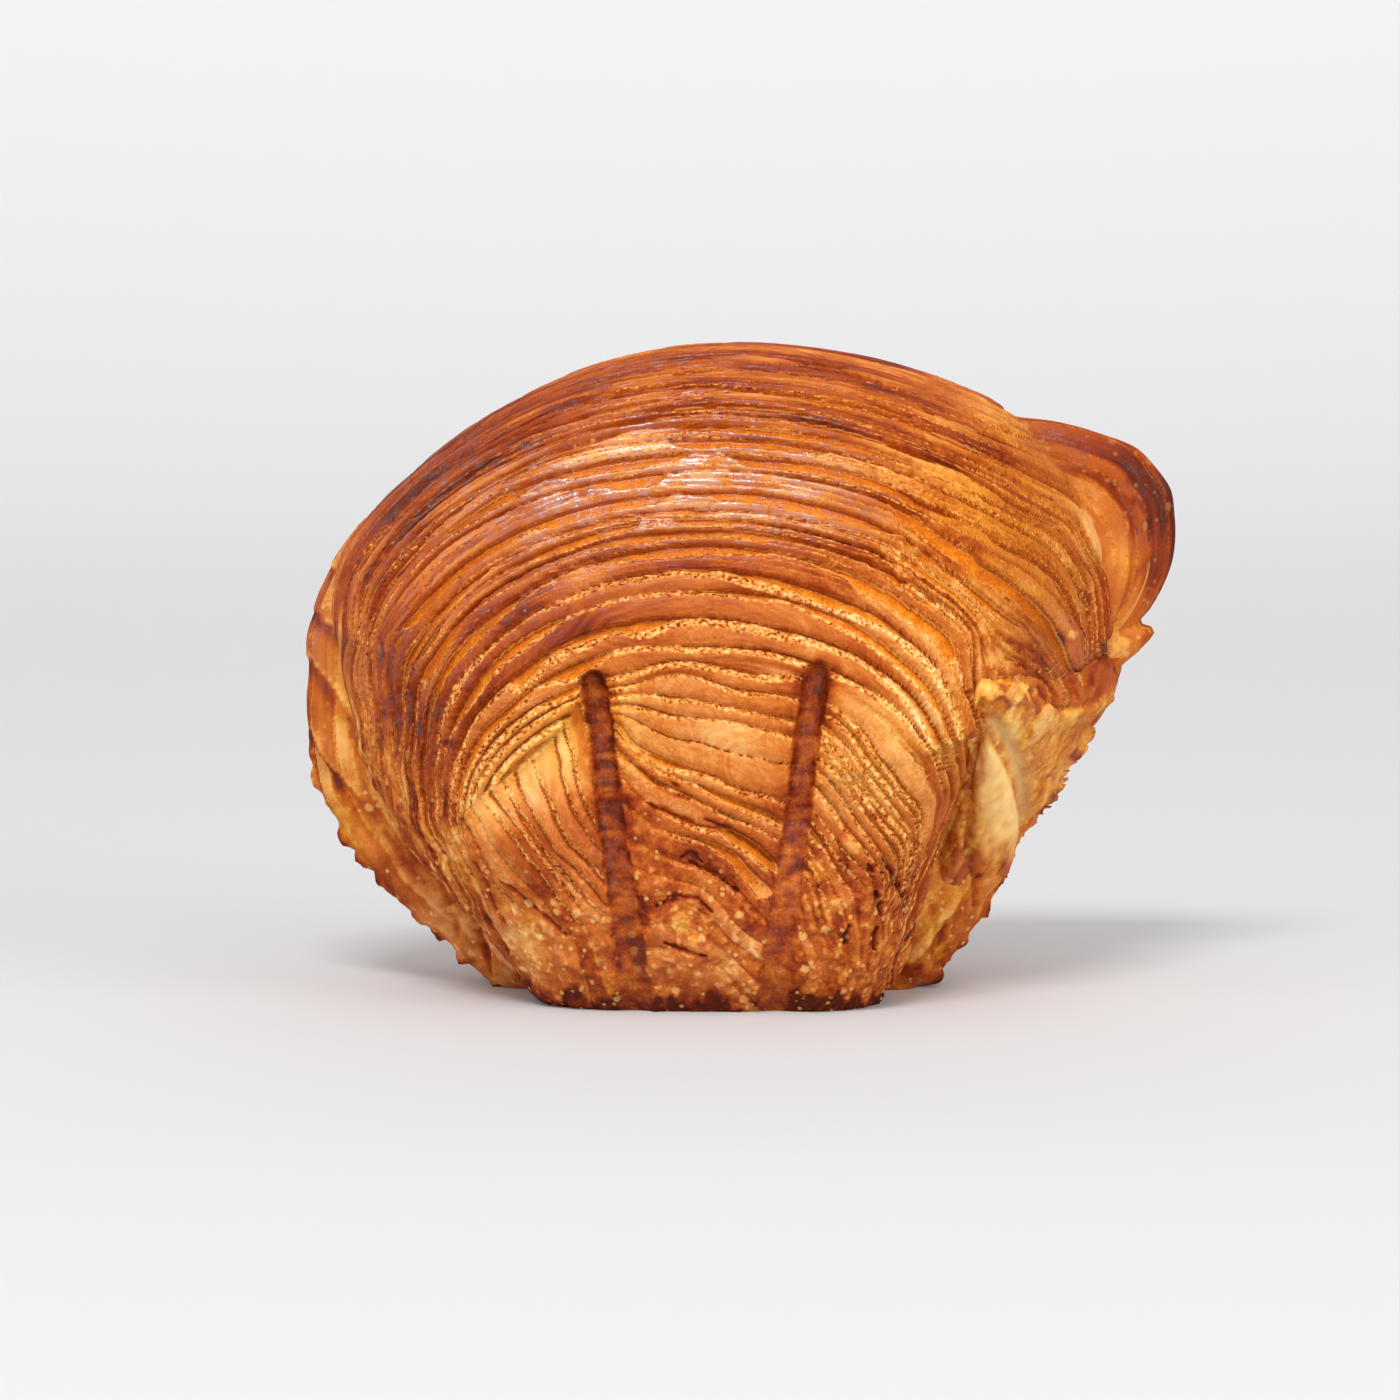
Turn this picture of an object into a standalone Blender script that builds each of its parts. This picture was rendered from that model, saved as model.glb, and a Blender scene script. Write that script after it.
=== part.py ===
"""Apple turnover of striped laminated dough, standing on its pressed rim.

Two puffed sheets of dough are one solid: the front sheet with the big dome, the two
pressed grooves and the corner lobes, and the wider back sheet whose edge shows at
the left, at the right and as the ear at the upper right. The sizes are millimetres,
seen from the front, with X to the right, Y away from the viewer and Z up.
"""

import math

import bpy
import numpy as np

MM = 0.001

# The point that both sheets spread out from, in X and Z.
HUB = (-6.7, 28.0)

# Depth of the dough's fattest point at the front and at the back, in Y.
FRONT_Y = -29.0
BACK_Y = 30.0

# Outlines as (angle from +X in degrees, distance from HUB). Below z = 0 the floor
# cuts them off flat.
FRONT_OUTLINE = (
    (0, 36.4), (7, 38.6), (11.5, 40.2), (14.6, 63.2), (17, 64.8), (25, 67.2), (38, 71.0),
    (51, 72.4), (65, 69.8), (78, 67.7), (92, 66.4), (106, 65.1), (119, 64.1), (132, 63.6),
    (143, 64.0), (152, 61.0), (158, 57.0), (165, 53.3), (181, 49.9), (195, 45.8),
    (210, 42.2), (222, 40.4), (236, 36.0), (252, 32.5), (270, 31.0), (290, 33.0),
    (308, 38.0), (318, 37.8), (338, 35.0), (350, 35.2),
)
BACK_OUTLINE = (
    (1, 54.0), (9, 59.2), (14, 63.9), (18, 70.0), (23, 76.0), (29, 81.8), (33, 83.3),
    (37, 82.8), (42, 79.4), (46, 76.2), (51, 72.2), (60, 70.0), (78, 67.2), (92, 65.9),
    (106, 64.7), (119, 63.7), (132, 63.4), (145, 64.4), (155, 63.2), (165, 60.0),
    (177, 57.2), (184, 54.0), (198, 48.0), (210, 43.2), (222, 41.2), (243, 34.5),
    (270, 31.0), (300, 34.6), (311, 39.4), (322, 43.0), (340, 45.8), (350, 48.4),
)

# Depth in Y of each sheet's edge, where it turns over towards the other sheet.
FRONT_EDGE_Y = (
    (0, -8.5), (11.5, -8.0), (14.6, 11.0), (25, 12.0), (38, 12.0), (51, 11.0), (65, 7.0),
    (78, 5.0), (105, 4.5), (132, 5.5), (152, 7.0), (165, 7.0), (181, 5.0), (195, 2.0),
    (210, -3.0), (222, -6.0), (236, -11.0), (252, -14.5), (270, -15.5), (308, -13.5),
    (318, -12.0), (338, -10.5), (352, -9.5),
)
BACK_EDGE_Y = (
    (1, 9.0), (9, 12.0), (18, 16.0), (26, 18.0), (37, 18.0), (46, 15.0), (56, 9.0),
    (65, 5.0), (78, 3.0), (105, 2.5), (132, 4.0), (145, 7.0), (155, 8.0), (177, 8.0),
    (198, 6.0), (210, 4.0), (243, 2.0), (270, 1.0), (300, 1.0), (322, 3.0), (340, 4.0),
    (350, 6.0),
)

# How squarely each sheet's face meets its edge: 2 is round, 6 is a flat face with a
# tight corner.
FRONT_SQUARENESS = (
    (0, 11.0), (14, 11.0), (25, 6.5), (38, 4.0), (55, 3.0), (90, 2.8), (120, 2.9),
    (150, 3.4), (180, 4.0), (215, 3.8), (240, 3.2), (270, 3.0), (300, 3.4), (335, 7.0),
)

# Beyond the corner at the right the front face slants back towards the gap: where the
# corner lies, how steep the slant is, how wide the corner is rounded, and the shares
# of the way to the edge between which the slant sets in.
CORNER_AT = ((0, 35.0), (11, 38.0), (25, 43.0), (35, 50.0), (50, 60.0), (180, 60.0), (320, 33.0))
CORNER_SLANT = ((0, 1.15), (14, 1.3), (25, 1.15), (38, 0.7), (55, 0.15), (68, 0.0), (300, 0.0), (330, 0.5))
CORNER_ROUNDING = 6.0
FLAT_ROUND_HUB = (0.15, 0.6)

# How far the front sheet reaches back behind its edge, inside the back sheet, and how
# full it stays there: the nearer to 0, the fuller.
FRONT_BACKING = (
    (0, 7.0), (11.5, 7.0), (14.6, 3.0), (38, 7.0), (60, 8.0), (90, 8.0), (150, 8.0),
    (200, 10.0), (222, 16.0), (250, 26.0), (290, 26.0), (312, 16.0), (335, 8.0),
)
HIDDEN_FULLNESS = 0.4

BACK_SQUARENESS = (
    (20, 3.2), (45, 2.8), (90, 2.6), (135, 2.8), (180, 3.4), (270, 3.0), (340, 3.4),
)

# How far the back sheet's own front face bulges towards the viewer.
BACK_LIP = (
    (10, 7.5), (30, 9.0), (48, 7.0), (90, 5.0), (150, 5.0), (200, 5.0), (270, 6.0),
    (320, 9.0), (345, 9.5),
)

# The front sheet's rings: nearly round as far as this ring, which is reached this share
# of the way to the edge.
INNER_RING = (
    (0, 33.0), (11, 37.0), (20, 41.0), (45, 44.0), (90, 38.0), (135, 43.0), (180, 38.5),
    (210, 33.0), (240, 26.0), (270, 23.5), (300, 26.0), (330, 30.0),
)
INNER_TURN = 0.5

# The layers of the dome: rings to each step, how high it is, and where they begin.
LAYER_PITCH_RINGS = 3
LAYER_STEP = 0.7
LAYERS_FROM = 0.26

# Pressed grooves: top and foot in X and Z, and how far each bows sideways. The tool
# that pressed them has these half widths, and its middle lies this far inside the
# face at the top and at the foot.
GROOVES = (
    {"top": (-22.2, 45.6), "foot": (-16.6, 2.0), "bow": 0.9},
    {"top": (9.9, 47.2), "foot": (3.6, 4.0), "bow": -0.7},
)
GROOVE_HALF_WIDTH = 2.1
GROOVE_HALF_DEPTH = 2.3
GROOVE_INSIDE = (1.2, 0.4)

# Swellings and hollows of the front face: centre in X and Z, spread across and up,
# lean in degrees, and depth (towards the viewer is positive).
SWELLINGS = (
    (-7.0, 50.0, 26.0, 11.0, 0, 1.6),
    (-30.5, 26.5, 6.0, 7.5, -25, 2.4),
    (-30.0, 36.0, 8.0, 2.0, 40, -2.6),
    (-6.5, 30.0, 8.0, 14.0, 0, 1.2),
    (20.5, 30.0, 8.5, 11.0, 35, 1.6),
    (-46.5, 30.0, 2.6, 13.0, 12, -1.6),
    (12.0, 12.0, 5.0, 5.0, 0, 0.8),
    (-7.5, 11.0, 6.0, 4.5, -10, 0.9),
)

# Pleats of the back sheet's edge at the left: first and last angle, number, depth.
PLEATS_FROM, PLEATS_TO = 150.0, 206.0
PLEAT_COUNT = 7
PLEAT_DEPTH = 0.6

# The slack inner layers that show in the gap at the right: centre, half sizes, lean.
INNER_FLAP = {"centre": (38.2, 1.0, 31.5), "half": (4.6, 6.0, 13.0), "lean": 16.0}

# Jagged flakes on the back sheet's edge: angle, length beyond it, half width.
FLAKES = (
    (17.2, 1.8, 2.0), (8.6, 1.4, 1.7), (0.4, 1.5, 1.8), (355.4, 1.4, 1.8), (324.0, 1.6, 2.0),
    (211.0, 1.6, 1.8), (217.5, 1.5, 1.9),
)
FLAKE_ROOT = 1.5
FLAKE_THICKNESS = 2.4
FLAKE_SIDES = 5

FRONT_SEGMENTS, FRONT_RINGS, FRONT_FACE_SHARE = 72, 38, 0.84
BACK_SEGMENTS, BACK_RINGS, BACK_FACE_SHARE = 88, 26, 0.3
GROOVE_SEGMENTS, GROOVE_RINGS = 12, 24
FLAP_SEGMENTS, FLAP_RINGS = 20, 12
FLOOR_BLOCK = (200.0, 120.0, 20.0)

CRUST_COLOUR = (0.60, 0.26, 0.07, 1.0)
CRUST_ROUGHNESS = 0.42


def clear_scene():
    for old in list(bpy.data.objects):
        bpy.data.objects.remove(old, do_unlink=True)


def new_collection(name, rendered):
    collection = bpy.data.collections.new(name)
    bpy.context.scene.collection.children.link(collection)
    collection.hide_render = not rendered
    return collection


def move_to(obj, collection):
    for old in list(obj.users_collection):
        old.objects.unlink(obj)
    collection.objects.link(obj)


def around(angle, knots):
    """A smooth closed curve through (degrees, value) knots that never overshoots them."""
    at = np.array([knot[0] for knot in knots], float)
    value = np.array([knot[1] for knot in knots], float)
    at = np.concatenate([at[-2:] - 360, at, at[:2] + 360])
    value = np.concatenate([value[-2:], value, value[:2]])
    step = np.diff(value) / np.diff(at)
    slope = np.zeros(len(at))
    same_way = step[:-1] * step[1:] > 0
    mean = 2 * step[:-1] * step[1:] / np.where(same_way, step[:-1] + step[1:], 1)
    slope[1:-1] = np.where(same_way, mean, 0)
    angle = np.mod(angle, 360)
    i = np.clip(np.searchsorted(at, angle) - 1, 0, len(at) - 2)
    width = at[i + 1] - at[i]
    t = (angle - at[i]) / width
    rise = value[i + 1] - value[i]
    bend = slope[i] * width - rise
    lift = rise - slope[i + 1] * width
    return value[i] + rise * t + t * (1 - t) * (bend * (1 - t) + lift * t)


def smooth_step(low, high, x):
    t = np.clip((x - low) / (high - low), 0, 1)
    return t * t * (3 - 2 * t)


def swelling_at(x, z):
    """How far the front face stands out at X, Z because of its lobes and creases."""
    out = np.zeros_like(x)
    for cx, cz, across, up, lean, depth in SWELLINGS:
        a = math.radians(lean)
        u = (x - cx) * math.cos(a) + (z - cz) * math.sin(a)
        v = -(x - cx) * math.sin(a) + (z - cz) * math.cos(a)
        out += depth * np.exp(-0.5 * ((u / across) ** 2 + (v / up) ** 2))
    return out


def front_reach(turn, angle):
    """Distance from HUB at turn, 0 at HUB and 1 at the edge.

    The inner rings are nearly round, as the stripes of the dough are, and the outer
    rings spread out to the outline and crowd together where the face turns over.
    """
    inner = around(angle, INNER_RING)
    within = np.clip(turn / INNER_TURN, 0, 1)
    beyond = np.clip((turn - INNER_TURN) / (1 - INNER_TURN), 0, 1)
    spread = around(angle, FRONT_OUTLINE) - inner
    return inner * within + spread * np.sin(0.5 * math.pi * beyond)


def front_face_y(x, z, share, angle):
    """Y of the front sheet's face at X, Z, which is share of the way to its edge."""
    edge = around(angle, FRONT_EDGE_Y)
    square = around(angle, FRONT_SQUARENESS)
    roundness = np.sqrt(np.clip(1 - np.clip(share, 0, 1) ** square, 0, 1))
    past = np.hypot(x - HUB[0], z - HUB[1]) - around(angle, CORNER_AT)
    slant = 0.5 * (past + np.hypot(past, CORNER_ROUNDING)) * around(angle, CORNER_SLANT)
    slant = slant * smooth_step(*FLAT_ROUND_HUB, share)
    face = np.minimum(FRONT_Y + slant - swelling_at(x, z), edge)
    return edge + (face - edge) * roundness


def front_sheet_at(turn, angle):
    """X, Y, Z on the face of the front sheet."""
    reach = front_reach(turn, angle)
    x = HUB[0] + reach * np.cos(np.radians(angle))
    z = HUB[1] + reach * np.sin(np.radians(angle))
    return x, front_face_y(x, z, reach / around(angle, FRONT_OUTLINE), angle), z


def layer_relief(ring, turn, angle):
    """Outward height of the overlapping layers: each one steps up, then slopes down."""
    saw = (ring % LAYER_PITCH_RINGS) / LAYER_PITCH_RINGS
    on_dome = smooth_step(LAYERS_FROM, LAYERS_FROM + 0.08, turn)
    above = smooth_step(-20, 15, angle) * smooth_step(200, 165, angle)
    return LAYER_STEP * (saw - 0.5) * on_dome * above


def front_sheet_points(ring, angle):
    face_rings = FRONT_FACE_SHARE * FRONT_RINGS
    turn = np.clip(ring / face_rings, 0, 1)
    signed = np.where(angle > 270, angle - 360, angle)
    relief = layer_relief(ring, turn, signed)
    x, y, z = front_sheet_at(turn, angle)
    lean = turn**2
    x += relief * lean * np.cos(np.radians(angle))
    z += relief * lean * np.sin(np.radians(angle))
    y -= relief * (1 - lean)
    behind = np.clip((ring - face_rings) / (FRONT_RINGS - face_rings), 0, 1)
    shrink = np.cos(0.5 * math.pi * behind) ** HIDDEN_FULLNESS
    x = HUB[0] + (x - HUB[0]) * shrink
    z = HUB[1] + (z - HUB[1]) * shrink
    y += np.sin(0.5 * math.pi * behind) * around(angle, FRONT_BACKING)
    return x, y, z


def pleats_at(angle):
    """A wave along the back sheet's left edge."""
    turn = (angle - PLEATS_FROM) / (PLEATS_TO - PLEATS_FROM)
    inside = smooth_step(0, 0.08, turn) * smooth_step(1, 0.92, turn)
    return inside * np.cos(2 * math.pi * PLEAT_COUNT * turn)


def back_sheet_points(ring, angle):
    """The face towards the viewer takes the first rings, and the back takes the rest."""
    front_rings = BACK_FACE_SHARE * BACK_RINGS
    facing = ring < front_rings
    turn = np.where(facing, ring / front_rings, (BACK_RINGS - ring) / (BACK_RINGS - front_rings))
    share = np.sin(0.5 * math.pi * np.clip(turn, 0, 1))
    wave = pleats_at(angle)
    reach = (around(angle, BACK_OUTLINE) + PLEAT_DEPTH * 0.5 * wave) * share
    x = HUB[0] + reach * np.cos(np.radians(angle))
    z = HUB[1] + reach * np.sin(np.radians(angle))
    square = around(angle, BACK_SQUARENESS)
    roundness = np.sqrt(np.clip(1 - share**square, 0, 1))
    edge = around(angle, BACK_EDGE_Y)
    near = edge - around(angle, BACK_LIP) * roundness - PLEAT_DEPTH * wave * share**3
    signed = np.where(angle > 270, angle - 360, angle)
    relief = layer_relief(BACK_RINGS - ring, share, signed) * roundness
    far = edge + (BACK_Y - edge) * roundness + relief
    return x, np.where(facing, near, far), z


def shaped_sphere(name, segments, rings, shape, collection):
    """A UV sphere with its poles turned to front and back, its vertices moved by shape."""
    bpy.ops.mesh.primitive_uv_sphere_add(segments=segments, ring_count=rings, radius=1)
    obj = bpy.context.object
    obj.name = name
    obj.data.name = name
    count = len(obj.data.vertices)
    co = np.empty(count * 3)
    obj.data.vertices.foreach_get("co", co)
    co = co.reshape(-1, 3)
    ring = np.round(np.arccos(np.clip(co[:, 2], -1, 1)) / math.pi * rings)
    angle = np.mod(np.degrees(np.arctan2(co[:, 1], co[:, 0])), 360)
    x, y, z = shape(ring, angle)
    obj.data.vertices.foreach_set("co", (np.stack([x, y, z], 1) * MM).ravel())
    obj.data.update()
    move_to(obj, collection)
    return obj


def groove_points(groove):
    """A long rounded press tool that lies along the front face."""
    top, foot = groove["top"], groove["foot"]

    def shape(ring, angle):
        along = ring / GROOVE_RINGS
        blunt_end = np.sqrt(np.clip(1 - np.abs(2 * along - 1) ** 8, 0, 1))
        bow = groove["bow"] * np.sin(math.pi * along)
        x = top[0] + (foot[0] - top[0]) * along + bow
        z = top[1] + (foot[1] - top[1]) * along
        inside = GROOVE_INSIDE[0] + (GROOVE_INSIDE[1] - GROOVE_INSIDE[0]) * along
        turn = np.radians(angle)
        across = GROOVE_HALF_WIDTH * blunt_end * np.cos(turn)
        depth = GROOVE_HALF_DEPTH * blunt_end * np.sin(turn)
        return x + across, face_depth(x, z) + inside + depth, z

    return shape


def face_depth(x, z):
    """Y of the front face at X, Z."""
    angle = np.mod(np.degrees(np.arctan2(z - HUB[1], x - HUB[0])), 360)
    share = np.hypot(x - HUB[0], z - HUB[1]) / around(angle, FRONT_OUTLINE)
    return front_face_y(x, z, share, angle)


def flap_points(ring, angle):
    """A slack fold of inner layers, thicker at its foot."""
    cx, cy, cz = INNER_FLAP["centre"]
    half_x, half_y, half_z = INNER_FLAP["half"]
    turn = math.pi * ring / FLAP_RINGS
    a = np.radians(angle)
    u = half_x * np.sin(turn) * np.cos(a)
    v = half_z * np.sin(turn) * np.sin(a)
    lean = math.radians(INNER_FLAP["lean"])
    x = cx + u * math.cos(lean) + v * math.sin(lean)
    z = cz - u * math.sin(lean) + v * math.cos(lean)
    return x, cy - half_y * np.cos(turn), z


def add_flake(number, angle, length, half_width, collection):
    """A small pointed flake rooted in the back sheet's edge."""
    bpy.ops.mesh.primitive_cone_add(vertices=FLAKE_SIDES, radius1=1, radius2=0, depth=1)
    obj = bpy.context.object
    obj.name = f"flake_{number}"
    edge = around(np.array([angle]), BACK_OUTLINE)[0]
    depth = around(np.array([angle]), BACK_EDGE_Y)[0]
    a = math.radians(angle)
    reach = edge + 0.5 * (length - FLAKE_ROOT)
    place = (HUB[0] + reach * math.cos(a), depth, HUB[1] + reach * math.sin(a))
    obj.location = [value * MM for value in place]
    obj.rotation_euler = (0, math.pi / 2 - a, 0)
    size = (half_width, 0.5 * FLAKE_THICKNESS, length + FLAKE_ROOT)
    obj.scale = [value * MM for value in size]
    move_to(obj, collection)


def add_floor_cutter(collection):
    """All that lies below z = 0 is cut away, which leaves the flat foot."""
    bpy.ops.mesh.primitive_cube_add(size=1)
    block = bpy.context.object
    block.name = "below_floor"
    block.scale = [side * MM for side in FLOOR_BLOCK]
    block.location = (0, 0, -0.5 * FLOOR_BLOCK[2] * MM)
    move_to(block, collection)


def boolean(obj, operation, collection):
    modifier = obj.modifiers.new(operation.lower(), "BOOLEAN")
    modifier.operand_type = "COLLECTION"
    modifier.collection = collection
    modifier.operation = operation
    modifier.solver = "EXACT"


def crust_material():
    material = bpy.data.materials.new("crust")
    material.use_nodes = True
    shader = material.node_tree.nodes["Principled BSDF"]
    shader.inputs["Base Color"].default_value = CRUST_COLOUR
    shader.inputs["Roughness"].default_value = CRUST_ROUGHNESS
    shader.inputs["Metallic"].default_value = 0
    return material


def build():
    clear_scene()
    parts = new_collection("apple_turnover", True)
    added = new_collection("joined_on", False)
    cutters = new_collection("cutters", False)

    turnover = shaped_sphere(
        "turnover", BACK_SEGMENTS, BACK_RINGS, back_sheet_points, parts
    )
    shaped_sphere("front_sheet", FRONT_SEGMENTS, FRONT_RINGS, front_sheet_points, added)
    shaped_sphere("inner_flap", FLAP_SEGMENTS, FLAP_RINGS, flap_points, added)
    for number, (angle, length, half_width) in enumerate(FLAKES):
        add_flake(number, angle, length, half_width, added)
    for number, groove in enumerate(GROOVES):
        shaped_sphere(
            f"groove_{number}", GROOVE_SEGMENTS, GROOVE_RINGS, groove_points(groove), cutters
        )
    add_floor_cutter(cutters)
    for helper in list(added.objects) + list(cutters.objects):
        helper.hide_render = True
        helper.display_type = "WIRE"

    boolean(turnover, "UNION", added)
    boolean(turnover, "DIFFERENCE", cutters)
    turnover.data.materials.clear()
    turnover.data.materials.append(crust_material())


build()
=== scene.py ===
"""Looks of the apple turnover: its striped laminated crust, the stage and the camera.

The pieces repeat the named sizes of the solid at a finer grain, in millimetres: X to
the right, Y away from the viewer, Z up. Places on the shown face are given in points of
the 1400 x 1400 view, since the stripes follow what is seen from the front.
"""

import math

import bpy
import numpy as np
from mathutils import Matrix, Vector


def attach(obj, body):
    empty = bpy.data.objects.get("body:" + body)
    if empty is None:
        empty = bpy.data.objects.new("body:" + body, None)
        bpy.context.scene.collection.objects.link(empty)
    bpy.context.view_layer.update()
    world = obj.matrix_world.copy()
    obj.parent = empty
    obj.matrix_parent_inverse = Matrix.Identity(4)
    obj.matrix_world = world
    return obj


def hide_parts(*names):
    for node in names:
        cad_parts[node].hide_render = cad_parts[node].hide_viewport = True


MM = 0.001

# -------------------- camera of the view
VIEW_SIZE = 1400
FOCAL = 6138.0
DISTANCE = 900.0
ELEVATION = math.radians(5.5)
TARGET = (-6.7, 0.0, 42.8)
SENSOR = 36.0
CLIP_RANGE = (0.05, 20)
PER_MM = FOCAL / DISTANCE

# -------------------- form, as in the solid
# Curves round HUB (X and Z): degrees, then millimetres or a power.
HUB = (-6.7, 28.0)
FRONT_Y = -29.0
BACK_Y = 30.0
FRONT_OUTLINE = (
    (0, 36.4), (7, 38.6), (12.5, 40.6), (16.0, 42.0), (18.6, 62.6), (21, 65.4), (25, 67.2),
    (38, 71.0), (51, 72.4), (65, 69.8), (78, 67.7), (92, 66.4), (106, 65.1), (119, 64.1),
    (132, 63.6), (143, 64.0), (152, 61.0), (158, 57.0), (165, 53.3), (172, 50.3),
    (181, 46.6), (190, 42.6), (199, 38.8), (207, 36.4), (216, 35.6), (229, 36.2),
    (240, 34.6), (252, 32.5), (270, 31.0), (290, 33.0), (308, 38.0), (318, 37.8),
    (338, 35.0), (350, 35.2),
)
BACK_OUTLINE = (
    (1, 52.2), (9, 57.4), (14, 61.0), (16, 64.2), (17.6, 69.2), (19.4, 71.8), (20.8, 70.0),
    (21.8, 72.2), (23.5, 75.2), (26.1, 78.6), (29.9, 81.6), (33, 83.2), (37, 82.8), (42, 79.4),
    (46, 76.2), (51, 72.2), (60, 70.0), (78, 67.2), (92, 65.9), (106, 64.7), (119, 63.7),
    (132, 63.4), (145, 64.4), (155, 63.2), (165, 60.0), (177, 57.2), (184, 54.0), (198, 48.0),
    (210, 43.2), (222, 41.2), (243, 34.5), (270, 31.0), (300, 34.6), (311, 39.4), (322, 43.0),
    (340, 45.4), (350, 47.0),
)
FRONT_EDGE_Y = (
    (0, -8.5), (16.0, -8.0), (18.6, 11.0), (25, 12.0), (38, 12.0), (51, 11.0), (65, 7.0),
    (78, 5.0), (105, 4.5), (132, 5.5), (152, 7.0), (165, 6.0), (181, 2.0), (190, -1.0),
    (199, -5.0), (210, -9.0), (222, -10.0), (236, -12.0), (252, -14.5), (270, -15.5),
    (308, -13.5), (318, -12.0), (338, -10.5), (352, -9.5),
)
BACK_EDGE_Y = (
    (1, 9.0), (9, 12.0), (18, 16.0), (26, 18.0), (37, 18.0), (46, 15.0), (56, 9.0),
    (65, 5.0), (78, 3.0), (105, 2.5), (132, 4.0), (145, 7.0), (155, 8.0), (177, 8.0),
    (198, 6.0), (210, 4.0), (243, 2.0), (270, 1.0), (300, 1.0), (322, 3.0), (340, 4.0),
    (350, 6.0),
)
FRONT_SQUARENESS = (
    (0, 11.0), (14, 11.0), (25, 6.5), (38, 4.0), (55, 3.0), (90, 2.8), (120, 2.9),
    (150, 3.4), (180, 4.0), (215, 3.8), (240, 3.2), (270, 3.0), (300, 3.4), (335, 7.0),
)
CORNER_AT = ((0, 35.0), (11, 38.0), (25, 43.0), (35, 50.0), (50, 60.0), (180, 60.0), (320, 33.0))
CORNER_SLANT = (
    (0, 1.15), (14, 1.3), (25, 1.15), (38, 0.7), (55, 0.15), (68, 0.0), (300, 0.0), (330, 0.5),
)
CORNER_ROUNDING = 6.0
FLAT_ROUND_HUB = (0.15, 0.6)
FRONT_BACKING = (
    (0, 7.0), (16.0, 7.0), (18.6, 3.0), (38, 7.0), (60, 8.0), (90, 8.0), (150, 8.0),
    (200, 14.0), (222, 16.0), (250, 26.0), (290, 26.0), (312, 16.0), (335, 8.0),
)
HIDDEN_FULLNESS = 0.4
BACK_SQUARENESS = (
    (20, 3.2), (45, 2.8), (90, 2.6), (135, 2.8), (180, 3.4), (270, 3.0), (340, 3.4),
)
# How far the rim's near side swells in front of its edge.
BACK_LIP = (
    (5, 9.0), (15, 9.0), (22, 11.0), (30, 9.0), (48, 7.0), (90, 5.0), (150, 6.0),
    (180, 8.0), (210, 8.0), (270, 6.0), (320, 10.0), (345, 11.0),
)
# The ring halfway out, at INNER_TURN of the way from HUB to the edge.
INNER_RING = (
    (0, 33.0), (11, 37.0), (20, 41.0), (45, 44.0), (90, 38.0), (135, 43.0), (180, 38.5),
    (210, 33.0), (240, 26.0), (270, 23.5), (300, 26.0), (330, 30.0),
)
INNER_TURN = 0.5
# Swellings towards the viewer: X, Z, spread across, spread up, lean, height.
SWELLINGS = (
    (-7.0, 50.0, 26.0, 11.0, 0, 1.6),
    (-30.5, 26.5, 6.0, 7.5, -25, 2.4),
    (-30.0, 36.0, 8.0, 2.0, 40, -2.6),
    (-6.5, 30.0, 8.0, 14.0, 0, 1.2),
    (20.5, 30.0, 8.5, 11.0, 35, 1.6),
    (-46.5, 30.0, 2.6, 13.0, 12, -1.6),
    (12.0, 12.0, 5.0, 5.0, 0, 0.8),
    (-7.5, 11.0, 6.0, 4.5, -10, 0.9),
)
PLEATS_FROM, PLEATS_TO = 150.0, 206.0
PLEAT_COUNT = 7
PLEAT_DEPTH = 0.25

# -------------------- stripes of the layers
# Half-ellipses with their top at x = 700: (row of the top, half width, height).
RIGHT_ARCS = ((362, 425, 226), (450, 392, 245), (570, 268, 190), (655, 242, 165))
LEFT_ARCS = ((362, 395, 330), (450, 338, 220), (570, 266, 185), (655, 239, 155))
ARC_TOP_X = 700
ARC_ROWS = (345, 362, 400, 450, 510, 570, 610, 655)
# Arcs between these rows stop at this X, where the right wall has stripes of its own.
WALL_ROWS, WALL_FROM_X = (440, 560), 930
# Lower stripes that start beyond these X carry on the ends of the arcs.
SIDES_BEYOND_X = (480, 900)
# Length along the stripes in millimetres where they start without an arc: at a side,
# and right of the right groove, which is right of this X.
SIDE_LENGTH, RIGHT_GROOVE_LENGTH, RIGHT_GROOVE_X = 55.0, 20.0, 790
ARC_TURNS = (0, 18, 36, 54, 70, 82)

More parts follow.
